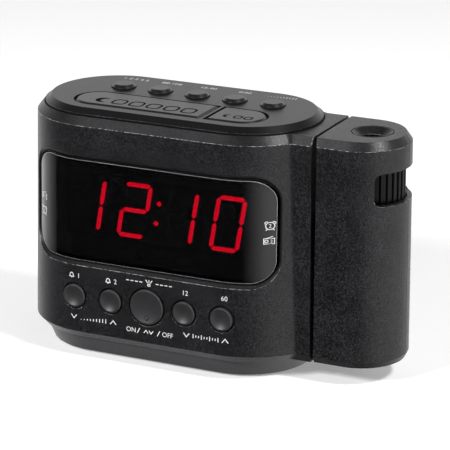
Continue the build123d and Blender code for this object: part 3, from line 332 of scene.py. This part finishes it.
# ------------------------------------------------------------------ finishes of the carried-over pieces
# spark-eroded ABS: a satin black with a fine even grain that breaks highlights into speckle;
# the real grain is about 0.15 mm and is drawn at 0.45 mm, because it wouldn't show otherwise
case_finish = moulded_plastic(
    "black_abs_spark_eroded",
    "#0a0a0a",
    "#36363a",
    0.45,
    0.06,
    0.35,
    spread=0.12,
    edge_mm=0.25,
    shine=0.25,
    # pale colour painted on the open upward edges as a highlight
    edge_highlight="#c8c8ca",
    # narrow gaps painted black as shade
    gap_mm=2.5,
)
# ABS with a finer matt grain: reads softer and lighter than the case under a top light; like the other
# smooth plastics below, its real grain is under 0.1 mm and is drawn a few times as coarse to show at all
deck_finish = moulded_plastic(
    "black_abs_fine_matt",
    "#0d0d0e",
    "#161618",
    0.35,
    0.01,
    0.34,
    spread=0.04,
    edge_mm=0.25,
    shine=0.23,
    # pale colour painted on the open upward edges as a highlight
    edge_highlight="#8a8a8c",
    # narrow gaps painted black as shade
    gap_mm=2.5,
)
# ABS moulded against a plain stoned tool: nearly smooth with a dull sheen
base_finish = moulded_plastic("black_abs_stoned", "#373739", "#414143", 0.4, 0.008, 0.42, spread=0.04)
# ABS keys from a lightly polished tool: smooth, with clearer edges of light
# its narrow gaps are painted black as shade
key_finish = moulded_plastic("black_abs_satin_key", "#202022", "#2a2a2c", 0.3, 0.006, 0.48, gap_mm=1.5)
# the keys of the deck come from a better polished tool: darker faces and brighter edges
top_key_finish = moulded_plastic(
    # narrow gaps painted black as shade
    "black_abs_satin_top_key", "#121213", "#1a1a1c", 0.3, 0.006, 0.34, shine=0.4, gap_mm=1.5
)
# ABS of the focus wheel: deep black, so that only the ribs catch a line of light
wheel_finish = moulded_plastic("black_abs_fluted_wheel", "#030303", "#090909", 0.3, 0.008, 0.3, shine=0.14)
# acetal: slightly waxy black for the sliding and turning parts
acetal_finish = moulded_plastic("black_acetal", "#141414", "#1b1b1b", 0.3, 0.006, 0.35)
# polycarbonate housing of the digits: dead flat black so that only lit segments show
module_finish = moulded_plastic(
    "matt_black_polycarbonate", "#030303", "#060606", 0.4, 0.01, 0.85, shine=0.1
)
# polyamide of the small switches: dull black with a trace of sheen
switch_finish = moulded_plastic("black_polyamide", "#101010", "#1a1a1a", 0.3, 0.01, 0.5)
# nitrile rubber of the feet: dull, with a powdery grain
rubber_finish = moulded_plastic("black_nitrile_rubber", "#0d0d0d", "#1a1a1a", 0.5, 0.03, 0.85)
# natural polyamide washer: cream white and waxy
nylon_finish = moulded_plastic("natural_polyamide", "#d8d2c0", "#e6e1d2", 0.4, 0.01, 0.4)
# glass-epoxy laminate with green solder resist: weave just shows under the resist
laminate_finish = moulded_plastic("green_glass_epoxy_board", "#0e3b22", "#155231", 0.6, 0.01, 0.35)
# the display board has black solder resist so that nothing shows through the lens
masked_board_finish = moulded_plastic(
    "black_solder_resist", "#030303", "#060606", 0.6, 0.005, 0.7, shine=0.1
)
# epoxy moulding compound of chips: plain grey-black, almost without sheen
epoxy_finish = moulded_plastic("black_epoxy_compound", "#17181a", "#202124", 0.2, 0.01, 0.6)
# PET shrink sleeve of the capacitors and jacket of the cells: plain colour with a slick gloss
sleeve_finish = moulded_plastic("black_shrink_sleeve", "#0c1226", "#131c38", 0.8, 0.01, 0.25)
cell_finish = moulded_plastic("green_cell_jacket", "#1c5a35", "#256b40", 0.8, 0.01, 0.3)
# pressed paper pulp of the speaker cone: brown-black and fibrous, with no sheen
paper_finish = moulded_plastic("black_paper_pulp", "#17130f", "#2a241d", 0.5, 0.05, 0.9)
# sintered ferrite ring: dark grey and slightly chalky
ferrite_finish = moulded_plastic("sintered_ferrite", "#26272a", "#35373b", 0.4, 0.02, 0.7)
# tinned steel of the tuner's shield: a bright, slightly milky metal
tin_finish = rolled_metal("tinned_steel", "#c9cbcc", 0.32)
# the same steel behind the speaker slots, painted darker as shade and rougher, so it stays dark between the
# ribs
shaded_tin_finish = rolled_metal("shaded_tinned_steel", "#47484a", 0.6)
# spring steel of clip and contacts: greyer and clearer than tin
spring_finish = rolled_metal("spring_steel", "#9a9c9e", 0.3)
# black zinc plating of the screws: dark metal with soft lights
zinc_finish = rolled_metal("black_zinc_plated_steel", "#5a5b5e", 0.35)
# smoked acrylic: the dark tint hides the module until the digits light
SMOKE = "#3c3c3f"
smoked_finish = clear_plastic("smoked_acrylic", SMOKE, 0.0, 1.12)
# a hard coat gives it a clean mirror of the room
smoked_shader = smoked_finish.node_tree.nodes["Principled BSDF"]
smoked_shader.inputs["Coat Weight"].default_value = 1.0
smoked_shader.inputs["Coat Roughness"].default_value = 0.02
# painted highlight: a pale rim is painted round the lens's edges
painted_rim_highlight(smoked_finish, SMOKE, "#e4e4e6", 0.26)
# clear acrylic of the lenses: colourless with sharp lights
optic_finish = clear_plastic("clear_acrylic", "#f4f7f7", 0.02, 1.49)
# glass of the time slide: faintly green, a little soft
slide_finish = clear_plastic("slide_glass", "#dfe6e4", 0.05, 1.52)
# silicone with phosphor over the lamp's chip: cloudy yellow
led_finish = clear_plastic("phosphor_silicone", "#ecd67c", 0.3, 1.41, 0.3)

FINISHES = {
    "housing": case_finish,
    "arm_front_shell": case_finish,
    "arm_rear_shell": case_finish,
    "deck_cover": deck_finish,
    "snooze_bar": top_key_finish,
    "sleep_bar": top_key_finish,
    "base_cover": base_finish,
    "battery_door": base_finish,
    "display_window": smoked_finish,
    "led_module": module_finish,
    "display_board": masked_board_finish,
    "focus_wheel": wheel_finish,
    "rubber_feet": rubber_finish,
    "pivot_tube": acetal_finish,
    "pivot_washer": nylon_finish,
    "pivot_clip": spring_finish,
    "battery_contacts": spring_finish,
    "battery_cells": cell_finish,
    "tuner_shield": tin_finish,
    "microcontroller": epoxy_finish,
    "capacitors": sleeve_finish,
    "speaker_cone": paper_finish,
    # painted shade: the frame behind the slots takes the darkened tin
    "speaker_frame": shaded_tin_finish,
    "speaker_magnet": ferrite_finish,
    "cover_glass": optic_finish,
    "focus_lens": optic_finish,
    "condenser_lens": optic_finish,
    "time_slide": slide_finish,
    "lamp_led": led_finish,
    "lens_barrel": acetal_finish,
    "slide_holder": module_finish,
    "dc_jack": switch_finish,
    "antenna_gland": rubber_finish,
    "front_switches": switch_finish,
    "top_switches": switch_finish,
}
for name in ("alarm_1_key", "alarm_2_key", "projection_key", "hour_key", "minute_key"):
    FINISHES[name] = key_finish
for name in ("memory_key", "band_key", "timer_key", "set_key", "dimmer_key"):
    FINISHES[name] = top_key_finish
for name in ("base_screws", "arm_screws", "board_screws"):
    FINISHES[name] = zinc_finish
for name in ("top_board", "main_board", "lamp_board"):
    FINISHES[name] = laminate_finish

for name, node in nodes.items():
    if name in FINISHES:
        node.data.materials.clear()
        node.data.materials.append(FINISHES[name])
assert set(FINISHES) | {"digit_segments"} == set(nodes), set(nodes) - set(FINISHES)

# ------------------------------------------------------------------ lit and unlit segments
LIT = {"1": "bc", "2": "abdeg", "0": "abcdef"}  # segment letters of each figure
SHOWN_TIME = "1210"
BARS_OF_A_DIGIT = 7
BAR_CORNERS = 12  # of a bar's mesh; a colon dot has far more


def mesh_islands(mesh):
    """Groups of vertex numbers that are joined by edges."""
    parent = list(range(len(mesh.vertices)))

    def root(i):
        while parent[i] != i:
            parent[i] = parent[parent[i]]
            i = parent[i]
        return i

    for edge in mesh.edges:
        a, b = (root(i) for i in edge.vertices)
        parent[a] = b
    groups = {}
    for i in range(len(parent)):
        groups.setdefault(root(i), []).append(i)
    return list(groups.values())


def welded_copy(node):
    """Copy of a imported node's mesh with the doubled corners of its sharp edges joined."""
    mesh = node.data.copy()
    edit = bmesh.new()
    edit.from_mesh(mesh)
    bmesh.ops.remove_doubles(edit, verts=edit.verts, dist=0.001 * MM)
    edit.to_mesh(mesh)
    edit.free()
    return mesh


def segment_names(mesh, groups):
    """Names each island: colon, or digit number and segment letter by its place in the digit."""
    centres = [sum((mesh.vertices[i].co for i in group), Vector()) / len(group) for group in groups]
    by_shape = sorted(range(len(groups)), key=lambda k: abs(len(groups[k]) - BAR_CORNERS))
    dots = by_shape[BARS_OF_A_DIGIT * len(SHOWN_TIME) :]
    bars = [k for k in range(len(groups)) if k not in dots]
    bars.sort(key=lambda k: centres[k].x)
    names = {k: "colon" for k in dots}
    for digit in range(len(SHOWN_TIME)):
        own = bars[BARS_OF_A_DIGIT * digit : BARS_OF_A_DIGIT * (digit + 1)]
        own.sort(key=lambda k: centres[k].z)
        # from the bottom: d, then e and c, then g, then f and b, then a
        low_pair = sorted(own[1:3], key=lambda k: centres[k].x)
        high_pair = sorted(own[4:6], key=lambda k: centres[k].x)
        order = (own[0], *low_pair, own[3], *high_pair, own[6])
        for k, letter in zip(order, "decgfba"):
            names[k] = f"{digit}{letter}"
    return names


def segment_piece(name, mesh, groups, chosen, material):
    """New piece from the chosen islands of the segment mesh."""
    keep = {i for k in chosen for i in groups[k]}
    edit = bmesh.new()
    edit.from_mesh(mesh)
    edit.verts.ensure_lookup_table()
    bmesh.ops.delete(edit, geom=[v for v in edit.verts if v.index not in keep], context="VERTS")
    piece_mesh = bpy.data.meshes.new(name)
    edit.to_mesh(piece_mesh)
    edit.free()
    piece_mesh.materials.clear()
    piece_mesh.materials.append(material)
    piece = bpy.data.objects.new(name, piece_mesh)
    bpy.context.scene.collection.objects.link(piece)
    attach(piece, "case")
    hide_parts("digit_segments")
    return piece


# diffused red epoxy over a lit chip: an even red glow
lit_finish = glowing_epoxy("lit_red_epoxy", "#ff0024", 13.0, "#7a0008")
# the same epoxy unlit under smoked acrylic is almost black
unlit_finish = moulded_plastic("unlit_dark_epoxy", "#060505", "#0a0808", 0.5, 0.01, 0.7)
segments = welded_copy(nodes["digit_segments"])
islands = mesh_islands(segments)
words = segment_names(segments, islands)
lit = [k for k, word in words.items() if word == "colon" or word[1] in LIT[SHOWN_TIME[int(word[0])]]]
unlit = [k for k in words if k not in lit]
segment_piece("lit_segments", segments, islands, lit, lit_finish)
segment_piece("unlit_segments", segments, islands, unlit, unlit_finish)

# ------------------------------------------------------------------ flat shapes: points in mm, and faces
# white pad printing on the dark plastics: flat and slightly chalky with tiny thin spots
white_ink = moulded_plastic("white_pad_print", "#c4c4c4", "#dcdcdc", 0.25, 0.004, 0.6)


def glyph_shape(text, height):
    """Plain digits or letters, centred on the origin, with their cap height."""
    curve = bpy.data.curves.new("glyphs", "FONT")
    curve.body = text
    curve.align_x = "CENTER"
    curve.align_y = "CENTER"
    curve.resolution_u = 3
    holder = bpy.data.objects.new("glyphs", curve)
    bpy.context.scene.collection.objects.link(holder)
    bpy.context.view_layer.update()
    mesh = bpy.data.meshes.new_from_object(holder.evaluated_get(bpy.context.evaluated_depsgraph_get()))
    corners = [v.co.xy for v in mesh.vertices]
    low = min(c.y for c in corners)
    high = max(c.y for c in corners)
    left = min(c.x for c in corners)
    right = max(c.x for c in corners)
    scale = height / (high - low)
    points = [((c.x - (left + right) / 2) * scale, (c.y - (low + high) / 2) * scale) for c in corners]
    faces = [tuple(polygon.vertices) for polygon in mesh.polygons]
    bpy.data.objects.remove(holder)
    return points, faces


def stroke_shape(path, width, closed=False):
    """Ribbon of constant width along a path of points."""
    count = len(path)
    points, faces = [], []
    for i, (x, y) in enumerate(path):
        before = path[(i - 1) % count] if closed or i > 0 else path[i]
        after = path[(i + 1) % count] if closed or i < count - 1 else path[i]
        ways = []
        for (ax, ay), (bx, by) in ((before, (x, y)), ((x, y), after)):
            length = sqrt((bx - ax) ** 2 + (by - ay) ** 2)
            if length > 0:
                ways.append(((bx - ax) / length, (by - ay) / length))
        dx = sum(w[0] for w in ways)
        dy = sum(w[1] for w in ways)
        size = sqrt(dx**2 + dy**2)
        dx, dy = dx / size, dy / size
        # a mitre keeps the ribbon's width round the corner
        mitre = 1 / max(0.4, dx * ways[-1][0] + dy * ways[-1][1])
        nx, ny = -dy * width / 2 * mitre, dx * width / 2 * mitre
        points += [(x + nx, y + ny), (x - nx, y - ny)]
    for i in range(count if closed else count - 1):
        a, b = 2 * i, 2 * ((i + 1) % count)
        faces.append((a, a + 1, b + 1, b))
    return points, faces


def arc_path(x, y, radius, start, end, steps=20):
    """Points along an arc, angles in degrees."""
    turns = [radians(start + (end - start) * i / steps) for i in range(steps + 1)]
    return [(x + radius * cos(t), y + radius * sin(t)) for t in turns]


def ring_shape(radius, width, steps=28):
    """Ring round the origin."""
    return stroke_shape(arc_path(0, 0, radius, 0, 360, steps)[:-1], width, closed=True)


def moved(shape, x, y):
    """The shape, shifted."""
    points, faces = shape
    return [(px + x, py + y) for px, py in points], faces


def joined(*shapes):
    """One shape from several."""
    points, faces = [], []
    for own_points, own_faces in shapes:
        start = len(points)
        points += own_points
        faces += [tuple(start + i for i in face) for face in own_faces]
    return points, faces


def printed_piece(name, shape, place, thickness, body, material):
    """Thin raised layer of a flat shape, laid on a surface by place(u, v, lift)."""
    points, faces = shape
    edit = bmesh.new()
    low = [edit.verts.new(place(u, v, SKIN)) for u, v in points]
    high = [edit.verts.new(place(u, v, thickness)) for u, v in points]
    rims = {}
    for face in faces:
        edit.faces.new([high[i] for i in face])
        edit.faces.new([low[i] for i in reversed(face)])
        for a, b in zip(face, face[1:] + face[:1]):
            rims[(a, b)] = rims.get((a, b), 0) + 1
    for a, b in rims:
        if (b, a) not in rims:
            edit.faces.new((low[a], low[b], high[b], high[a]))
    bmesh.ops.recalc_face_normals(edit, faces=edit.faces)
    mesh = bpy.data.meshes.new(name)
    edit.to_mesh(mesh)
    edit.free()
    mesh.materials.append(material)
    piece = bpy.data.objects.new(name, mesh)
    bpy.context.scene.collection.objects.link(piece)
    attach(piece, body)
    return piece


def wall_place(x, z):
    """Lays a flat shape on the leaning front wall round a place."""
    return lambda u, v, lift: on_wall(x + u, z + v, lift)


def lens_place(x, z):
    """Lays a flat shape on the lens."""
    return lambda u, v, lift: on_wall(x + u, z + v, lift - LENS_SUNK)


def flat_place(x, y, z):
    """Lays a flat shape on a level surface."""
    return lambda u, v, lift: Vector((x + u, y + v, z + lift)) * MM


# ------------------------------------------------------------------ printed marks
LABEL_HEIGHT = 2.1
TOP_LABEL_HEIGHT = 2.4
LINE = 0.38                # width of the printed lines
ARROW_SIZE = (2.8, 1.7)
SMALL_ARROW_SIZE = (2.0, 1.3)
BELL_SIZE = 2.4


def arrow(size, line, up):
    """Open arrow head that points up or down."""
    width, height = size
    tip = height / 2 if up else -height / 2
    return stroke_shape([(-width / 2, -tip), (0, tip), (width / 2, -tip)], line)


def bell(size, line):
    """Plain alarm bell: a dome on a bar with its clapper."""
    dome = arc_path(0, 0, size * 0.32, 180, 0, 12)
    body = [(-size * 0.42, -size * 0.38), *dome, (size * 0.42, -size * 0.38)]
    clapper = [(-size * 0.12, -size * 0.55), (size * 0.12, -size * 0.55)]
    return joined(stroke_shape(body, line, closed=True), stroke_shape(clapper, line))


def alarm_mark(figure):
    """Bell with the number of its alarm."""
    return joined(moved(bell(BELL_SIZE, LINE), -1.9, 0.2), moved(glyph_shape(figure, LABEL_HEIGHT), 1.6, 0))


def beam(size, line):
    """A small lamp box throwing a widening beam upwards."""
    lamp = [(-size / 5, -size / 2), (size / 5, -size / 2), (size / 5, -size / 5), (-size / 5, -size / 5)]
    return joined(
        stroke_shape(lamp, line, closed=True),
        stroke_shape([(-size / 4, 0), (-size * 0.6, size / 2)], line),
        stroke_shape([(size / 4, 0), (size * 0.6, size / 2)], line),
        stroke_shape([(0, 0), (0, size / 2)], line),
    )


def dashes(count, start, pitch, length, line):
    """Rows of dashes to the left and right of the middle."""
    rows = []
    for side in (-1, 1):
        for i in range(count):
            x = start + pitch * i
            rows.append(stroke_shape([(side * x, 0), (side * (x + length), 0)], line))
    return joined(*rows)


def rising_bars(count, pitch, height, line):
    """Row of bars that grow to the right."""
    bars = []
    for i in range(count):
        x = (i - (count - 1) / 2) * pitch
        bars.append(stroke_shape([(x, -height / 2), (x, -height / 2 + height * (i + 1) / count)], line))
    return joined(*bars)


def dial_ticks(count, pitch, height, line):
    """Tuning scale: every third tick is long."""
    ticks = []
    for i in range(count):
        x = (i - (count - 1) / 2) * pitch
        reach = height / 2 if i % 3 == 0 else height / 4
        ticks.append(stroke_shape([(x, -reach), (x, reach)], line))
    return joined(*ticks)


def between_arrows(shape, reach):
    """The shape with an arrow down on its left and an arrow up on its right."""
    return joined(
        moved(arrow(ARROW_SIZE, LINE, False), -reach, 0),
        shape,
        moved(arrow(ARROW_SIZE, LINE, True), reach, 0),
    )


on_off_mark = joined(
    moved(glyph_shape("ON", LABEL_HEIGHT), -8.6, 0),
    stroke_shape([(-5.6, -1.2), (-4.4, 1.2)], LINE),
    moved(arrow(SMALL_ARROW_SIZE, LINE, True), -1.4, 0),
    moved(arrow(SMALL_ARROW_SIZE, LINE, False), 1.0, 0),
    stroke_shape([(4.0, -1.2), (5.2, 1.2)], LINE),
    moved(glyph_shape("OFF", LABEL_HEIGHT), 8.9, 0),
)
# name, place across and height on the front wall, shape
for name, x, z, shape in (
    ("alarm_1_mark", -52.1, 37.1, alarm_mark("1")),
    ("alarm_2_mark", -34.3, 37.0, alarm_mark("2")),
    ("hour_mark", 0.7, 37.0, glyph_shape("12", LABEL_HEIGHT)),
    ("minute_mark", 18.7, 37.2, glyph_shape("60", LABEL_HEIGHT)),
    ("projection_mark", -16.6, 38.8, joined(beam(2.6, LINE), dashes(4, 3.2, 2.1, 1.4, LINE))),
    ("volume_mark", -43.4, 18.5, between_arrows(rising_bars(9, 1.5, 2.0, LINE), 9.6)),
    ("tuning_mark", 10.2, 18.5, between_arrows(dial_ticks(10, 1.3, 2.0, LINE), 9.0)),
    ("on_off_mark", -16.6, 16.9, on_off_mark),
):
    printed_piece(name, shape, wall_place(x, z), PRINT, "case", white_ink)

TOP_LABEL_Y = 22.3
# name, place across the deck, shape
for name, x, shape in (
    ("memory_mark", -51.4, glyph_shape("1 2 3 4 5", TOP_LABEL_HEIGHT)),
    ("band_mark", -34.2, glyph_shape("88-108", TOP_LABEL_HEIGHT)),
    ("timer_mark", -16.2, glyph_shape("15-90", TOP_LABEL_HEIGHT)),
    ("set_mark", 1.1, glyph_shape("0:00", TOP_LABEL_HEIGHT)),
    ("dimmer_mark", 18.8, rising_bars(10, 1.4, TOP_LABEL_HEIGHT, LINE)),
):
    printed_piece(name, shape, flat_place(x, TOP_LABEL_Y, DECK_Z), PRINT, "case", white_ink)

# painted shade: dark matt lines on the satin bars stand for the shade inside their debossed marks
debossed_mark_shade = moulded_plastic("painted_shade_in_debossed_marks", "#020202", "#050505", 0.25, 0.004, 0.9, shine=0.05)
CRESCENT_STEPS = 20
BAR_MARK_Y = -15.0


def crescent(size):
    """Filled new moon."""
    outer = arc_path(0, 0, size / 2, 54, 306, CRESCENT_STEPS)
    inner = arc_path(size * 0.25, 0, size * 0.39, 86, 274, CRESCENT_STEPS)
    points = [point for pair in zip(outer, inner) for point in pair]
    faces = [(2 * i, 2 * i + 2, 2 * i + 3, 2 * i + 1) for i in range(CRESCENT_STEPS)]
    return points, faces


def lozenge(width, height, line):
    """Outline of a rectangle with rounded corners."""
    r = height * 0.3
    path = []
    for x, y, start in ((1, 1, 0), (-1, 1, 90), (-1, -1, 180), (1, -1, 270)):
        path += arc_path(x * (width / 2 - r), y * (height / 2 - r), r, start, start + 90, 4)
    return stroke_shape(path, line, closed=True)


def lozenge_row(count, start, pitch, width, height, line):
    """Row of like lozenges to the right of a start."""
    return joined(*(moved(lozenge(width, height, line), start + pitch * i, 0) for i in range(count)))


snooze_line_work = joined(moved(crescent(6.6), -20.0, 0), lozenge_row(5, -12.0, 8.2, 5.8, 6.4, 0.9))
sleep_line_work = joined(moved(crescent(3.8), -4.8, 0), lozenge_row(2, 0.2, 4.7, 3.2, 3.6, 0.7))
# name, place across, shape, bar that carries it
for name, x, shape, body in (
    ("snooze_bar_mark", -28.2, snooze_line_work, "snooze_bar"),
    ("sleep_bar_mark", 15.2, sleep_line_work, "sleep_bar"),
):
    place = flat_place(x, BAR_MARK_Y, BAR_TOP_Z)
    # painted shade of the debossed marks, laid on the bar
    printed_piece(name, shape, place, DEBOSS_SHADE_TOP, body, debossed_mark_shade)


def alarm_icon(size, line, figure):
    """Alarm clock with two feet and bells, holding a figure."""
    r = size * 0.36
    return joined(
        ring_shape(r, line),
        stroke_shape(arc_path(-r * 0.75, r * 0.75, r * 0.42, 60, 210, 8), line),
        stroke_shape(arc_path(r * 0.75, r * 0.75, r * 0.42, -30, 120, 8), line),
        stroke_shape([(-r * 0.6, -r * 0.85), (-r * 0.95, -r * 1.25)], line),
        stroke_shape([(r * 0.6, -r * 0.85), (r * 0.95, -r * 1.25)], line),
        glyph_shape(figure, size * 0.36),
    )


def radio_icon(size, line, figure):
    """Radio set with its aerial, holding a figure."""
    w, h = size * 0.5, size * 0.32
    return joined(
        stroke_shape([(-w, -h), (w, -h), (w, h), (-w, h)], line, closed=True),
        stroke_shape([(-w * 0.6, h), (w * 0.7, h + size * 0.24)], line),
        moved(ring_shape(h * 0.5, line, 16), -w * 0.5, 0),
        moved(glyph_shape(figure, size * 0.34), w * 0.45, 0),
    )


ALARM_ICON, ALARM_LINE = 4.3, 0.34
RADIO_ICON, RADIO_LINE = 0.85 * ALARM_ICON, 0.32
# name, place across and height on the lens, shape
for name, x, z, shape in (
    ("alarm_2_icon", 35.7, 69.0, alarm_icon(ALARM_ICON, ALARM_LINE, "2")),
    ("radio_2_icon", 35.4, 62.4, radio_icon(RADIO_ICON, RADIO_LINE, "2")),
    ("alarm_1_icon", -71.7, 61.2, alarm_icon(ALARM_ICON, ALARM_LINE, "1")),
    ("radio_1_icon", -71.7, 67.6, radio_icon(RADIO_ICON, RADIO_LINE, "1")),
):
    printed_piece(name, shape, lens_place(x, z), PRINT, "case", white_ink)

# ------------------------------------------------------------------ camera, lights and floor
CAMERA_PLACE = Vector((460.0, -946.0, 400.6)) * MM
CAMERA_AIM = Vector((2.0, 0.0, 56.8)) * MM
CAMERA_ROLL = radians(-0.14)
FOCAL_LENGTH = 206.05
SENSOR_WIDTH = 36.0
FLOOR_REACH = 6.0          # metres each way
TABLE_MM = 4.0             # faint clouds in the table's white


def facing(place, target):
    """Placing matrix that turns -Z to the target, from two vectors in metres."""
    turn = (target - place).to_track_quat("-Z", "Y").to_matrix().to_4x4()
    return Matrix.Translation(place) @ turn


camera_data = bpy.data.cameras.new("camera")
camera_data.lens = FOCAL_LENGTH
camera_data.sensor_width = SENSOR_WIDTH
camera = bpy.data.objects.new("camera", camera_data)
camera.matrix_world = facing(CAMERA_PLACE, CAMERA_AIM) @ Matrix.Rotation(CAMERA_ROLL, 4, "Z")
bpy.context.scene.collection.objects.link(camera)
bpy.context.scene.camera = camera


def soft_light(name, place, target, size_x, size_y, watts):
    """Rectangular softbox, sizes and places in metres."""
    data = bpy.data.lights.new(name, "AREA")
    data.shape = "RECTANGLE"
    data.size = size_x
    data.size_y = size_y
    data.energy = watts
    light = bpy.data.objects.new(name, data)
    light.matrix_world = facing(Vector(place), Vector(target))
    bpy.context.scene.collection.objects.link(light)


# a compact key from the front left and a second one high on the right; the white backdrop does the rest
# name, place, target, size across, size up, watts
for light in (
    ("key_softbox", (-0.55, -1.15, 0.85), (0.0, 0.0, 0.06), 0.4, 0.3, 22),
    ("right_softbox", (1.0, -0.22, 1.25), (0.05, 0.0, 0.08), 0.26, 0.26, 17),
):
    soft_light(*light)

# dark room in front, white backdrop behind, a white wall far to the right, dimmer towards the zenith
world = bpy.data.worlds.new("studio")
bpy.context.scene.world = world
world.use_nodes = True
sky = world.node_tree
every_way = add_node(sky, "ShaderNodeTexCoord").outputs["Generated"]
direction = add_node(sky, "ShaderNodeSeparateXYZ", None, {"Vector": every_way}).outputs
# the backdrop brightens towards the rear, and its near edge is sharp
fading = add_node(
    sky,
    "ShaderNodeMapRange",
    None,
    {"Value": direction["Y"], "From Min": -0.27, "From Max": 0.36, "To Min": 0.15, "To Max": 1.12},
)
near_edge = add_node(
    sky,
    "ShaderNodeMapRange",
    None,
    {"Value": direction["Y"], "From Min": -0.29, "From Max": -0.26, "To Min": 0.08, "To Max": 1.0},
)
backdrop = add_node(
    sky,
    "ShaderNodeMath",
    {"operation": "MULTIPLY"},
    {0: fading.outputs["Result"], 1: near_edge.outputs["Result"]},
)
right_wall = add_node(
    sky,
    "ShaderNodeMapRange",
    {"interpolation_type": "SMOOTHSTEP"},
    {"Value": direction["X"], "From Min": 0.15, "From Max": 0.95, "To Min": 0.0, "To Max": 1.6},
)
walls = add_node(
    sky,
    "ShaderNodeMath",
    {"operation": "MAXIMUM"},
    {0: backdrop.outputs[0], 1: right_wall.outputs["Result"]},
)
ceiling = add_node(
    sky,
    "ShaderNodeMapRange",
    {"interpolation_type": "SMOOTHSTEP"},
    {"Value": direction["Z"], "From Min": 0.28, "From Max": 0.72, "To Min": 1.0, "To Max": 0.08},
)
brightness = add_node(
    sky, "ShaderNodeMath", {"operation": "MULTIPLY"}, {0: walls.outputs[0], 1: ceiling.outputs["Result"]}
)
studio = sky.nodes["Background"]
studio.inputs["Color"].default_value = linear("#ffffff")
sky.links.new(brightness.outputs[0], studio.inputs["Strength"])
bpy.context.scene.view_settings.view_transform = "Standard"


def floor_plane():
    """Large plain sheet under the clock."""
    edit = bmesh.new()
    corners = ((-1, -1), (1, -1), (1, 1), (-1, 1))
    edit.faces.new([edit.verts.new((x * FLOOR_REACH, y * FLOOR_REACH, 0.0)) for x, y in corners])
    mesh = bpy.data.meshes.new("floor")
    edit.to_mesh(mesh)
    edit.free()
    # opal acrylic of a light table: white, lit a little from below, so shadows stay faint
    material, tree, shader, place = new_material("opal_light_table")
    cloud = add_node(
        tree, "ShaderNodeTexNoise", None, {"Vector": place, "Scale": per_mm(TABLE_MM), "Detail": 3.0}
    )
    colour = add_node(tree, "ShaderNodeValToRGB", None, {"Fac": cloud.outputs["Fac"]})
    stops(colour, ((0.3, "#f0f0f0"), (0.7, "#f4f4f4")))
    tree.links.new(colour.outputs["Color"], shader.inputs["Base Color"])
    shader.inputs["Roughness"].default_value = 0.9
    shader.inputs["Specular IOR Level"].default_value = 0.1
    shader.inputs["Emission Color"].default_value = linear("#ffffff")
    shader.inputs["Emission Strength"].default_value = 0.24
    mesh.materials.append(material)
    floor = bpy.data.objects.new("floor", mesh)
    bpy.context.scene.collection.objects.link(floor)
    # the table lights the clock softly from below and stays out of its mirror images
    floor.visible_glossy = False


floor_plane()
